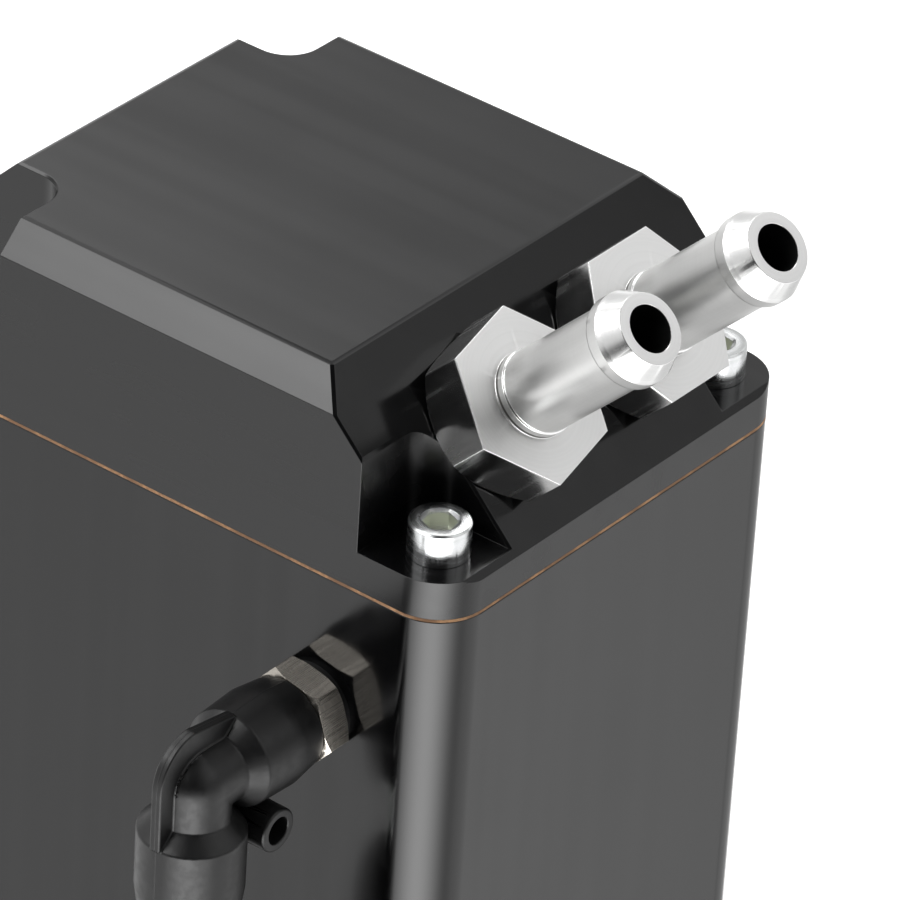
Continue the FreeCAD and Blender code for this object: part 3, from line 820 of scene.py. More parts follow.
@dataclass(frozen=True)
class TurnedSurface:
    """A surface of revolution about Z whose rows are circles or hexagons.

    A row at angle a has radius r on a circle, and r / cos(a - nearest face) on a hexagon,
    whose corners are rounded by a small circle that touches both faces. Each cone, given as
    radius, height and slope, trims the height of the hexagon rows. A shallow cone, given the
    same way, lowers the hexagon rows near its height by slope times how far they reach past
    its radius.
    """

    corners: tuple[Corner, ...]
    turn: float = 0.0
    hexagon_round: float = 0.2
    closed: bool = False
    blend_steps: int = 4
    cones: tuple[Triple, ...] = ()
    shallow: Triple | None = None
    shallow_depth: float = 1.0
    columns: int = 180
    corner_steps: tuple[float, ...] = (0.25, 0.5, 0.8, 1.2, 2.0, 3.5, 6.0, 9.0, 12.0, 15.0,
                                       18.0, 21.0, 24.0, 27.0)
    same_row: float = 1e-6
    least_bend: float = 1e-4
    least_blend: float = 1e-9

    def angles(self) -> np.ndarray:
        """Spaces the columns, closer together at the hexagon's corners.

        Returns:
            The column angles in degrees.
        """
        if any(corner.hexagon for corner in self.corners):
            side = np.array(self.corner_steps)
            offsets = np.concatenate([[0.0], side, [30.0], -side])
            return np.sort(np.mod((self.turn + 60 * np.arange(6)[:, None] + offsets).ravel(), 360))
        return np.arange(self.columns) * 360 / self.columns

    def profile(self) -> dict[str, np.ndarray]:
        """The profile with each corner blended by an arc.

        The arc of a corner between unit directions a and b touches both at r / tan(half the
        angle) from the corner, and its points turn evenly from one touching point to the other.

        Returns:
            Row arrays: radius, height, hexagon, drawn, cap and length along the profile.
        """
        points = np.array([(c.radius, c.height) for c in self.corners])
        blend = np.array([c.blend for c in self.corners])
        back = np.roll(points, 1, axis=0) - points
        ahead = np.roll(points, -1, axis=0) - points
        if not self.closed:
            back[0] = -ahead[0]
            ahead[-1] = -back[-1]
        back /= np.linalg.norm(back, axis=1, keepdims=True)
        ahead /= np.linalg.norm(ahead, axis=1, keepdims=True)
        half = np.arccos(np.clip((back * ahead).sum(1), -1, 1)) / 2
        sharp = np.pi / 2 - half
        bent = sharp > self.least_bend
        reach = np.where(bent, blend * np.tan(sharp), 0.0)
        inward = back + ahead
        inward /= np.maximum(np.linalg.norm(inward, axis=1, keepdims=True), self.least_blend)
        centre = points + inward * (blend / np.maximum(np.sin(half), self.same_row))[:, None]
        first = points + back * reach[:, None]
        last = points + ahead * reach[:, None]
        share = np.linspace(0, 1, self.blend_steps)[None, :, None]
        swing = np.maximum(2 * sharp, self.same_row)[:, None, None]
        start, end = (first - centre)[:, None, :], (last - centre)[:, None, :]
        arc = (np.sin((1 - share) * swing) * start + np.sin(share * swing) * end) / np.sin(swing)
        rounded = (bent & (blend > self.least_blend))[:, None, None]
        rows = np.where(rounded, centre[:, None, :] + arc, points[:, None, :]).reshape(-1, 2)
        steps = np.linalg.norm(np.diff(rows, axis=0, prepend=rows[:1]), axis=1)
        keep = np.append(True, steps[1:] > self.same_row)
        flags = np.repeat([(c.hexagon, c.drawn, c.cap) for c in self.corners], self.blend_steps, axis=0)
        return {"radius": rows[keep, 0], "height": rows[keep, 1], "hexagon": flags[keep, 0] > 0,
                "drawn": flags[keep, 1], "cap": flags[keep, 2], "length": np.cumsum(steps)[keep]}

    def radii(self, row: dict[str, np.ndarray], angles: np.ndarray) -> np.ndarray:
        """Radius of every row at every angle.

        With b the angle from the nearest corner, f the half width across flats and s the
        rounding, the flat has radius f / cos(30 deg - b), and the rounded corner is the circle
        of radius s about a point d = (f - s) / cos(30 deg) out, so its radius is
        d cos b + sqrt(s squared - d squared sin b squared).

        Args:
            row: The row arrays of the profile.
            angles: The column angles in degrees.

        Returns:
            The radii in millimetres, rows by columns.
        """
        from_corner = np.radians(np.abs(np.mod(angles - self.turn + 30, 60) - 30))[None, :]
        apothem = row["radius"][:, None]
        flat = apothem / np.cos(math.pi / 6 - from_corner)
        out = (apothem - self.hexagon_round) / math.cos(math.pi / 6)
        inside = self.hexagon_round**2 - (out * np.sin(from_corner))**2
        rounded = out * np.cos(from_corner) + np.sqrt(np.maximum(inside, 0))
        hexagon = np.where((inside > 0) & (rounded < flat), rounded, flat)
        hexagon = np.minimum(hexagon, row["cap"][:, None])
        return np.where(row["hexagon"][:, None], hexagon, apothem * np.ones_like(from_corner))

    def points(self) -> tuple[np.ndarray, dict[str, np.ndarray], np.ndarray]:
        """Works out the surface on its grid of rows and columns.

        Returns:
            The points in millimetres, the row arrays and the column angles in degrees.
        """
        row, angles = self.profile(), self.angles()
        hexagon = row["hexagon"][:, None]
        radius = self.radii(row, angles)
        height = np.repeat(row["height"][:, None], len(angles), axis=1)
        for cone_radius, cone_height, slope in self.cones:
            limit = cone_height + (cone_radius - radius) * slope
            trimmed = np.minimum(height, limit) if slope > 0 else np.maximum(height, limit)
            height = np.where(hexagon, trimmed, height)
        if self.shallow is not None:
            start, level, slope = self.shallow
            lowered = height - slope * np.maximum(radius - start, 0)
            height = np.where(hexagon & (height > level - self.shallow_depth), lowered, height)
        turn = np.radians(angles)[None, :]
        grid = np.stack([radius * np.cos(turn), radius * np.sin(turn), height], axis=-1)
        return grid, row, angles

    def chart(self, grid: np.ndarray, row: dict[str, np.ndarray], angles: np.ndarray) -> np.ndarray:
        """Charts the surface, with one more row and column that close it.

        U is the angle in turns. V is the length along the profile in metres, plus what the
        point's radius is over its row's, so that equal V on a hexagon's front is a circle.

        Args:
            grid: The points in millimetres.
            row: The row arrays of the profile.
            angles: The column angles in degrees.

        Returns:
            The UV of every point.
        """
        over = np.hypot(grid[..., 0], grid[..., 1]) - row["radius"][:, None]
        along = np.pad((row["length"][:, None] + over) * MM, ((0, 1), (0, 1)), mode="wrap")
        along[-1] = along[-2] + MM
        turns = np.broadcast_to(np.append(angles, angles[0] + 360) / 360, along.shape)
        return np.stack([turns, along], axis=-1)

    def pieces(self, seat: Seat) -> dict[str, np.ndarray]:
        """Works out the arrays of the surface's mesh.

        Args:
            seat: Where the surface stands.

        Returns:
            Arrays: points in metres, faces, the UV of each face corner and the drawn mask.
        """
        grid, row, angles = self.points()
        rows, columns = grid.shape[:2]
        i = np.arange(rows if self.closed else rows - 1)[:, None]
        j = np.arange(columns)[None, :]
        below, beside = (i + 1) % rows, (j + 1) % columns
        faces = np.stack([i * columns + j, i * columns + beside, below * columns + beside,
                          below * columns + j], axis=-1).reshape(-1, 4)
        chart = self.chart(grid, row, angles)
        uv = np.stack([chart[i, j], chart[i, j + 1], chart[i + 1, j + 1], chart[i + 1, j]], axis=-2)
        return {"points": seat.carry(grid.reshape(-1, 3) * MM), "faces": faces,
                "uv": uv.reshape(-1, 2), "drawn": np.repeat(row["drawn"], columns)}


def finish_mesh(mesh: bpy.types.Mesh, merge: float, sharp: float) -> None:
    """Closes seams and poles, turns faces outwards and shades smoothly up to an angle.

    Args:
        mesh: The mesh to finish in place.
        merge: Distance in metres under which points become one.
        sharp: Angle in degrees from which an edge stays sharp.
    """
    work = bmesh.new()
    work.from_mesh(mesh)
    bmesh.ops.remove_doubles(work, verts=work.verts, dist=merge)
    bmesh.ops.dissolve_degenerate(work, edges=work.edges, dist=merge)
    bmesh.ops.recalc_face_normals(work, faces=work.faces)
    work.to_mesh(mesh)
    work.free()
    mesh.polygons.foreach_set("use_smooth", np.ones(len(mesh.polygons), bool))
    mesh.set_sharp_from_angle(angle=math.radians(sharp))
    mesh.update()


def place_object(name: str, data: bpy.types.ID) -> bpy.types.Object:
    """Puts a new object into the scene, at the origin.

    Args:
        name: The object's name.
        data: Its mesh or camera.

    Returns:
        The new object.
    """
    item = bpy.data.objects.new(name, data)
    bpy.context.scene.collection.objects.link(item)
    return item


def even_normals(piece: bpy.types.Object, weight: int) -> None:
    """Leans the normals of small faces towards those of their large neighbours.

    Args:
        piece: The object that gets the modifier.
        weight: How much large faces count over small ones: 50 is even, and 100 the most.
    """
    even = piece.modifiers.new("even_normals", "WEIGHTED_NORMAL")
    even.keep_sharp = True
    even.weight = weight


def turned_piece(name: str, parts: list[tuple[TurnedSurface, Seat]]) -> bpy.types.Object:
    """One object of one or more turned surfaces.

    Args:
        name: The piece's name.
        parts: Each surface with its seat.

    Returns:
        The new object, at the origin.
    """
    built = [surface.pieces(seat) for surface, seat in parts]
    starts = np.cumsum([0] + [len(part["points"]) for part in built])
    points = np.concatenate([part["points"] for part in built])
    faces = np.concatenate([part["faces"] + start for part, start in zip(built, starts)])
    charts = np.concatenate([part["uv"] for part in built]).astype(np.float32)
    marks = np.concatenate([part["drawn"] for part in built]).astype(np.float32)
    mesh = bpy.data.meshes.new(name)
    mesh.from_pydata(points, [], faces)
    mesh.uv_layers.new(name=TURNED_UV).data.foreach_set("uv", charts.ravel())
    mesh.attributes.new(DRAWN, "FLOAT", "POINT").data.foreach_set("value", marks)
    finish_mesh(mesh, merge=1e-7, sharp=38.0)
    piece = place_object(name, mesh)
    even_normals(piece, weight=90)
    return piece


def merged_copy(node: str, name: str, bevel: float, segments: int = 2, angle: float = 28.0,
                crease: float = 18.0, clamp: bool = False) -> bpy.types.Object:
    """A merged copy of a solid's mesh with its sharp edges rounded.

    Args:
        node: The solid's node name.
        name: The piece's name.
        bevel: Width of the rounding in metres.
        segments: Steps of the rounding.
        angle: Angle in degrees from which an edge is rounded.
        crease: Angle in degrees from which an edge stays sharp where it isn't rounded.
        clamp: Whether the rounding is held back where it would run over itself.

    Returns:
        The new object, which replaces the node.
    """
    mesh = frame["nodes"][node].data.copy()
    mesh.name = name
    mesh.materials.clear()
    if "custom_normal" in mesh.attributes:
        mesh.attributes.remove(mesh.attributes["custom_normal"])
    work = bmesh.new()
    work.from_mesh(mesh)
    bmesh.ops.remove_doubles(work, verts=work.verts, dist=SAME_POINT)
    bmesh.ops.dissolve_limit(work, angle_limit=SAME_PLANE, use_dissolve_boundaries=False,
                             verts=work.verts, edges=work.edges, delimit=set())
    for edge in work.edges:
        edge.smooth = not math.radians(crease) < edge.calc_face_angle(0.0) < math.radians(angle)
    work.to_mesh(mesh)
    work.free()
    mesh.polygons.foreach_set("use_smooth", np.ones(len(mesh.polygons), bool))
    mesh.update()
    piece = place_object(name, mesh)
    rounding = piece.modifiers.new("broken_edges", "BEVEL")
    rounding.width = bevel
    rounding.segments = segments
    rounding.limit_method = "ANGLE"
    rounding.angle_limit = math.radians(angle)
    rounding.use_clamp_overlap = clamp
    rounding.harden_normals = True
    even_normals(piece, weight=100)
    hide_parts(node)
    return piece


def dress(piece: bpy.types.Object, material: bpy.types.Material, slot: Slot, body: Body | None) -> None:
    """Gives a piece its finish and the body that it rides on, and logs the record's slot.

    Args:
        piece: The object to dress.
        material: Its finish.
        slot: The record's material slot.
        body: The body it rides on, or None for a solid of the frame, which rides already.
    """
    piece.data.materials.clear()
    piece.data.materials.append(material)
    if body is not None:
        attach(piece, body.value)
    log.info("%s: %s, %d faces", piece.name, slot.value, len(piece.data.polygons))


def dress_node(node: str, material: bpy.types.Material, slot: Slot) -> None:
    """Gives a solid of the frame a finer finish, and leaves its shape."""
    dress(frame["nodes"][node], material, slot, None)


# Sub-assemblies


@dataclass
class MilledBody:
    """Lid, tank and base plate with the two gaskets between them."""

    lid_round: float = 0.11 * MM
    edge_round: float = 0.22 * MM
    base_round: float = 0.18 * MM
    across: Triple = (0.03, 1.0, 1.0)
    upright: Triple = (1.0, 1.0, 0.012)

    def build(self) -> dict[str, bpy.types.Object]:
        """Merged copies of the three milled solids."""
        return {"lid": merged_copy("lid", "lid_shell", self.lid_round, clamp=True),
                "tank": merged_copy("tank_body", "tank_shell", self.edge_round),
                "base": merged_copy("base_plate", "base_shell", self.base_round)}

    def dress(self) -> None:
        """Builds the pieces and finishes them."""
        built = self.build()
        finishes = {
            "lid": BlackAnodised("anodised_lid", roughness=0.14, side_roughness=0.25,
                                 squeeze=self.across),
            "tank": BlackAnodised("anodised_tank", roughness=0.12, squeeze=self.upright),
            "base": BlackAnodised("anodised_base", roughness=0.14, squeeze=self.across),
        }
        for name, finish in finishes.items():
            dress(built[name], finish.make(), Slot.ANODISED, Body.CAN)
        paper = GasketPaper("gasket_fibre").make()
        for node in ("lid_gasket", "base_gasket"):
            dress_node(node, paper, Slot.GASKET)


@dataclass
class HoseBarbs:
    """The two turned barbs on the slope, with their sealing rings. Sizes in millimetres.

    The groove behind the bead is given as depths and distances from the bead. Painted shade lies
    in two rings: one over the hexagon's front, at the root of the tube, and one in the groove.
    """

    half_flats: float = 12.9
    hex_seat: float = 0.3
    hex_top: float = 10.3
    hex_edge: float = 0.5
    circle_radius: float = 11.3
    circle_edge: float = 0.25
    front_edge: float = 0.35
    front_slope: float = 0.02
    collar_radius: float = 7.2
    collar_top: float = 12.1
    shoulder_end: float = 12.3
    tube_radius: float = 6.95
    groove: tuple[Pair, ...] = ((0.15, 0.0), (0.1, 0.15), (0.0, 0.35))
    bead_start: float = 34.0
    bead_taper: float = 0.8
    bead_step: float = 0.4
    tip: float = 40.4
    tip_radius: float = 5.9
    bore_edge: float = 0.05
    shank_end: float = -11.0
    shank_radius: float = 8.3
    relief_radius: float = 7.4
    relief_end: float = -2.4
    # Heights of the two rings of painted shade, over the hexagon's front and back from the bead.
    root_painted_shade: float = 0.45
    groove_painted_shade: float = 0.1
    turns: dict[str, float] = field(default_factory=lambda: {"inlet": 72.0, "outlet": 60.0})

    def seat(self, name: str) -> Seat:
        """Finds the barb's place on the slope, back from the bead that the record states.

        Args:
            name: The barb's name, inlet or outlet.

        Returns:
            The seat.
        """
        bead = mount(name + "_port")
        normal = np.array(bead["axis"])
        middle = (self.bead_start + bead["dims"]["length_mm"] / 2) * MM
        up_slope = np.array([-normal[2], 0.0, normal[0]])
        return Seat(tuple(np.array(bead["pos_m"]) - normal * middle), (0.0, 1.0, 0.0),
                    tuple(up_slope), tuple(normal))

    def surface(self, name: str) -> TurnedSurface:
        """Draws the barb as one closed profile, from the bore round the outside and back.

        Args:
            name: The barb's name, inlet or outlet.

        Returns:
            The surface, with the slope at height zero.
        """
        flat, top, tube = self.half_flats, self.hex_top, self.tube_radius
        bore = mount(name + "_bore")["dims"]["r_mm"]
        bead = mount(name + "_port")["dims"]
        bead_end = self.bead_start + bead["length_mm"]
        corners = (
            Corner(bore, self.shank_end),
            Corner(bore, self.tip - self.bore_edge),
            Corner(bore + self.bore_edge, self.tip),
            Corner(self.tip_radius, self.tip, 0.18),
            Corner(bead["r_mm"] - self.bead_step, bead_end + self.bead_taper, 0.3),
            Corner(bead["r_mm"], bead_end, 0.08),
            Corner(bead["r_mm"], self.bead_start, 0.45),
            *(Corner(tube - depth, self.bead_start - off, 0.1) for depth, off in self.groove),
            Corner(tube, self.shoulder_end, 0.2),
            Corner(self.collar_radius, self.collar_top, 0.15),
            Corner(self.collar_radius, top, 0.12),
            Corner(self.circle_radius, top),
            Corner(self.circle_radius + self.circle_edge, top - self.circle_edge * self.front_slope),
            Corner(flat - self.front_edge, top, hexagon=True),
            Corner(flat, top, 0.1, hexagon=True),
            *flats(flat, top - self.hex_edge, self.hex_seat + self.hex_edge),
            Corner(flat, self.hex_seat, 0.1, hexagon=True),
            Corner(self.relief_radius, self.hex_seat),
            Corner(self.relief_radius, self.relief_end),
            Corner(self.shank_radius, self.relief_end),
            Corner(self.shank_radius, self.shank_end, 0.4),
        )
        return TurnedSurface(corners, turn=self.turns[name], hexagon_round=0.16, closed=True,
                             cones=((flat, self.hex_seat, -1.0),),
                             shallow=(self.circle_radius, top, self.front_slope))

    def metal(self) -> TurnedMetal:
        """Works out the barbs' finish, with rings of painted shade, painted shade on its sides and a
        bore darkened by painted shade.

        Returns:
            The finish, which both barbs share because both stand on one slope.
        """
        axis = tuple(mount("inlet_port")["axis"])
        base = float(np.dot(self.seat("inlet").origin, axis))
        # Heights of the rings of painted shade: at the tube's root and in the groove before the bead.
        places = (self.hex_top + self.root_painted_shade, self.bead_start - self.groove_painted_shade)
        # The tube's sides are darkened by painted shade, and its bore by the default dark painted
        # shade.
        return TurnedMetal("turned_barb", (0.93, 0.93, 0.925), (0.72, 0.72, 0.71),
                           side_roughness=0.32, face_roughness=0.46, face_axis=axis,
                           side_painted_shade=0.85, ring_depth=0.00008 * MM, ring_tint=0.12, ring_gloss=0.02,
                           painted_shade_rings=tuple(base + place * MM for place in places),
                           bore_end=(self.tip - self.bore_edge - self.shank_end) * MM)

    def dress(self) -> None:
        """Builds and finishes both barbs and their rings."""
        metal = self.metal().make()
        rubber = Rubber("barb_ring_rubber").make()
        for name in self.turns:
            piece = turned_piece(name + "_barb_turned", [(self.surface(name), self.seat(name))])
            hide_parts(name + "_barb")
            dress(piece, metal, Slot.TURNED, Body.CAN)
            dress_node(name + "_o_ring", rubber, Slot.RUBBER)


@dataclass
class CornerScrews:
    """Socket cap screws in the lid's pockets and countersunk screws in the base. Millimetres."""

    head_radius: float = 5.05
    head_height: float = 6.0
    head_edge: float = 0.3
    socket_half_flats: float = 2.5
    socket_mouth: float = 3.2
    mouth_depth: float = 0.35
    socket_depth: float = 3.0
    socket_length: float = 5.2
    drill_radius: float = 1.9
    drill_depth: float = 0.7
    shank_radius: float = 3.0
    sunk_head_radius: float = 5.6
    sunk_head_height: float = 3.3
    sunk_half_flats: float = 2.0
    sunk_mouth: float = 2.35
    sunk_mouth_depth: float = 0.25
    sunk_depth: float = 1.9
    sunk_drill_radius: float = 1.5
    sunk_drill_depth: float = 0.4
    lid_turns: tuple[float, ...] = (8.0, 23.0, 41.0, 52.0)
    base_turns: tuple[float, ...] = (12.0, 35.0, 3.0, 48.0)

    def places(self) -> list[Pair]:
        """Screw centres in plan, a head's radius inside the box of the four lid screws."""
        reach = box_mm("lid_screws")[1][:2] - self.head_radius
        return [(sx * reach[0], sy * reach[1]) for sx in (-1, 1) for sy in (-1, 1)]

    def cap_screw(self, turn: float, end: float) -> TurnedSurface:
        """Cap screw profile: socket floor, socket, countersunk mouth, rim, side and shank.

        Args:
            turn: Angle of a socket corner, in degrees.
            end: Height of the screw's tip over its seat, below zero.

        Returns:
            The surface, with the seat at height zero.
        """
        top, rim, socket = self.head_height, self.head_radius, self.socket_half_flats
        floor = top - self.socket_depth
        corners = (
            Corner(0.0, floor - self.drill_depth),
            Corner(self.drill_radius, floor, 0.1),
            Corner(socket, floor, 0.05, hexagon=True, drawn=True),
            *flats(socket, top - self.mouth_depth),
            Corner(self.socket_mouth, top, 0.12),
            Corner(rim - self.head_edge, top, 0.15),
            Corner(rim, top - self.head_edge, 0.15),
            Corner(rim, 0.0, 0.1),
            Corner(self.shank_radius, 0.0),
            Corner(self.shank_radius, end, 0.3),
            Corner(0.0, end),
        )
        return TurnedSurface(corners, turn=turn, hexagon_round=0.08)

    def base_screw(self, turn: float, end: float) -> TurnedSurface:
        """Countersunk screw profile, with its own Z pointing down out of the base.

        Args:
            turn: Angle of a socket corner, in degrees.
            end: Height of the screw's tip, below zero.

        Returns:
            The surface, with the top of its head at height zero.
        """
        socket, depth = self.sunk_half_flats, self.sunk_depth
        corners = (
            Corner(0.0, -depth - self.sunk_drill_depth),
            Corner(self.sunk_drill_radius, -depth, 0.05),
            Corner(socket, -depth, 0.05, hexagon=True, drawn=True),
            *flats(socket, -self.sunk_mouth_depth),
            Corner(self.sunk_mouth, 0.0, 0.08),
            Corner(self.sunk_head_radius, 0.0, 0.15),
            Corner(self.shank_radius, -self.sunk_head_height),
            Corner(self.shank_radius, end, 0.3),
            Corner(0.0, end),
        )
        return TurnedSurface(corners, turn=turn, hexagon_round=0.08, blend_steps=3)

    def dress(self) -> None:
        """Builds and finishes both sets of screws."""
        zinc = TurnedMetal("zinc_plate", (0.80, 0.81, 0.82), (0.62, 0.64, 0.63),
                           turned_roughness=0.3, drawn_roughness=0.42, ring_scale=5200.0,
                           ring_depth=0.003 * MM, drawn_depth=0.03 * MM, scratches=0.5)
        cap_zinc = replace(zinc, name="zinc_plate_caps", bore_end=self.socket_length * MM,
                           bore_tint_and_shade=(0.81, 0.83, 0.75))
        lid_low, lid_high = box_mm("lid_screws")
        base_low, base_high = box_mm("base_screws")
        seat = lid_high[2] - self.head_height
        caps = []
        sunk = []
        for (x, y), lid_turn, base_turn in zip(self.places(), self.lid_turns, self.base_turns):
            up = Seat((x * MM, y * MM, seat * MM), (1, 0, 0), (0, 1, 0), (0, 0, 1))
            down = Seat((x * MM, y * MM, base_low[2] * MM), (1, 0, 0), (0, -1, 0), (0, 0, -1))
            caps.append((self.cap_screw(lid_turn, lid_low[2] - seat), up))
            sunk.append((self.base_screw(base_turn, base_low[2] - base_high[2]), down))
        for name, node, parts, finish in (("lid_cap_screws", "lid_screws", caps, cap_zinc),
                                          ("base_sunk_screws", "base_screws", sunk, zinc)):
            piece = turned_piece(name, parts)
            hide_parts(node)
            dress(piece, finish.make(), Slot.ZINC, Body.CAN)


@dataclass
class PushInElbow:
    """One push-in elbow: nickel stem, moulded body, rings, seals and release collar. Millimetres."""

    level: Level
    arm: int
    turn: float
    half_flats: float = 8.0
    hex_start: float = 1.4
    rear_bevel: float = 0.65
    hex_end: float = 6.2
    bevel_end: float = 7.0
    bevel_radius: float = 8.2
    cap_edge: float = 0.02
    drawn_edge: float = 0.12
    thread_radius: float = 6.5
    neck_radius: float = 5.5
    bore_radius: float = 3.25
    moulding_round: float = 0.3
    moulding_steps: int = 3
    moulding_angle: float = 25.0

    def seat(self) -> Seat:
        """Finds the elbow's place on the tank's side, from the box of its stem.

        Returns:
            The seat, with Z out of the side and Y along the tube arm.
        """
        low, high = box_mm(self.level.value + "_elbow_stem")
        side = box_mm("tank_body")[0][1]
        middle = (low + high) / 2
        return Seat((middle[0] * MM, side * MM, middle[2] * MM),
                    (float(self.arm), 0.0, 0.0), (0.0, 0.0, float(self.arm)), (0.0, -1.0, 0.0))

    def stem_surface(self) -> TurnedSurface:
        """Draws the stem as one closed profile.

        Returns:
            The surface, whose cones take the corners off both ends of the hexagon.
        """
        low, high = box_mm(self.level.value + "_elbow_stem")
        side = box_mm("tank_body")[0][1]
        thread_end, neck_end = side - high[1], side - low[1]
        flat, cap = self.half_flats, self.bevel_radius
        front, rear = self.bevel_end, self.hex_start
        over = flat / math.cos(math.pi / 6) - cap
        corners = (
            Corner(self.bore_radius, thread_end),
            Corner(self.bore_radius, neck_end),
            Corner(self.neck_radius, neck_end, 0.2),
            Corner(self.neck_radius, front),
            Corner(flat, front, hexagon=True, cap=cap),
            Corner(flat, front - self.cap_edge, hexagon=True),
            *flats(flat, front - self.drawn_edge, rear + self.drawn_edge),
            Corner(flat, rear + self.cap_edge, hexagon=True),
            Corner(flat, rear, hexagon=True, cap=cap),
            Corner(self.thread_radius, rear),
            Corner(self.thread_radius, thread_end, 0.4),
        )
        return TurnedSurface(corners, turn=self.turn, hexagon_round=0.16, closed=True,
                             cones=((cap, front, (front - self.hex_end) / over),
                                    (cap, rear, -self.rear_bevel / over)))

    def dress(self, nickel: bpy.types.Material, plastic: bpy.types.Material,
              collar: bpy.types.Material, rubber: bpy.types.Material,
              steel: bpy.types.Material) -> None:
        """Builds and finishes every piece of the elbow.

        Args:
            nickel: Finish of the stem.
            plastic: Finish of the moulded body and its ring.
            collar: Finish of the release collar.
            rubber: Finish of the seals.
            steel: Finish of the grip ring.
        """
        name = self.level.value
        stem = turned_piece(name + "_stem_turned", [(self.stem_surface(), self.seat())])
        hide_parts(name + "_elbow_stem")
        dress(stem, nickel, Slot.NICKEL, Body.CAN)
        body = merged_copy(name + "_elbow_body", name + "_elbow_moulding", self.moulding_round * MM,
                           self.moulding_steps, self.moulding_angle)
        dress(body, plastic, Slot.PLASTIC, Body.CAN)
        for part, finish, slot in (("_guide_ring", plastic, Slot.PLASTIC),
                                   ("_release_collar", collar, Slot.COLLAR),
                                   ("_elbow_seal", rubber, Slot.RUBBER),
                                   ("_tube_seal", rubber, Slot.RUBBER),
                                   ("_grip_ring", steel, Slot.ZINC)):
            dress_node(name + part, finish, slot)


@dataclass
class SightGauge:
    """The sight tube between the two elbows."""

    upper_turn: float = 48.6
    lower_turn: float = 20.0

    def dress(self) -> None:
        """Builds both elbows and finishes the tube."""
        low, high = box_mm("sight_tube")
        middle_x = float((low[0] + high[0]) / 2)
        nickel = TurnedMetal("nickel_plate", (0.62, 0.58, 0.52), (0.34, 0.315, 0.28),
                             turned_roughness=0.4, drawn_roughness=0.27,
                             drawn_depth=0.012 * MM, drawn_squeeze=(60.0, 9.0, 1.0)).make()
        plastic = MouldedPlastic("moulded_nylon", parting_x=middle_x * MM).make()
        collar = MouldedPlastic("collar_nylon", black=(0.012, 0.012, 0.0125),
                                pale=(0.024, 0.024, 0.025), roughness=0.36).make()
        rubber = Rubber("elbow_seal_rubber").make()
        steel = PlainMetal("spring_steel", (0.62, 0.62, 0.61), (0.45, 0.45, 0.44), 0.25).make()
        for elbow in (PushInElbow(Level.UPPER, -1, self.upper_turn),
                      PushInElbow(Level.LOWER, 1, self.lower_turn)):
            elbow.dress(nickel, plastic, collar, rubber, steel)
        dress_node("sight_tube", ClearTube("clear_tube_plastic").make(), Slot.CLEAR)


@dataclass
class InnerParts:
    """Baffle plate, drain plug and drain washer."""

    sheet: PlainMetal = PlainMetal("baffle_sheet", (0.78, 0.78, 0.77), (0.62, 0.62, 0.61), 0.34)
    washer: PlainMetal = PlainMetal("washer_metal", (0.72, 0.72, 0.71), (0.6, 0.6, 0.59), 0.36)
    plug: PlainMetal = PlainMetal("plug_zinc", (0.74, 0.75, 0.77), (0.58, 0.6, 0.62), 0.24)

    def dress(self) -> None:
        """Finishes the three solids."""
        dress_node("baffle_plate", self.sheet.make(), Slot.ALUMINIUM)
        dress_node("drain_washer", self.washer.make(), Slot.ALUMINIUM)
        dress_node("drain_plug", self.plug.make(), Slot.ZINC)


# Studio


@dataclass(frozen=True)
class Panel:
    """A soft-edged field of the studio's surroundings, by direction in degrees."""

    west: float
    east: float
    low: float
    high: float
    soft_sides: float
    soft_ends: float
    strength: float

    def mask(self, book: NodeBook, azimuth: Socket, elevation: Socket) -> Socket:
        """Share of the field at a direction, 1 well inside it.

        Args:
            book: The world's node book.
            azimuth: Azimuth of the direction, in degrees.
            elevation: Elevation of the direction, in degrees.

        Returns:
            The mask, from 0 to 1.
        """
        shares = [book.math("MULTIPLY", book.spread(angle, first, first + soft),
                            book.spread(angle, last - soft, last, 1.0, 0.0))
                  for angle, first, last, soft in (
                      (azimuth, self.west, self.east, self.soft_sides),
                      (elevation, self.low, self.high, self.soft_ends))]
        return book.math("MULTIPLY", *shares)


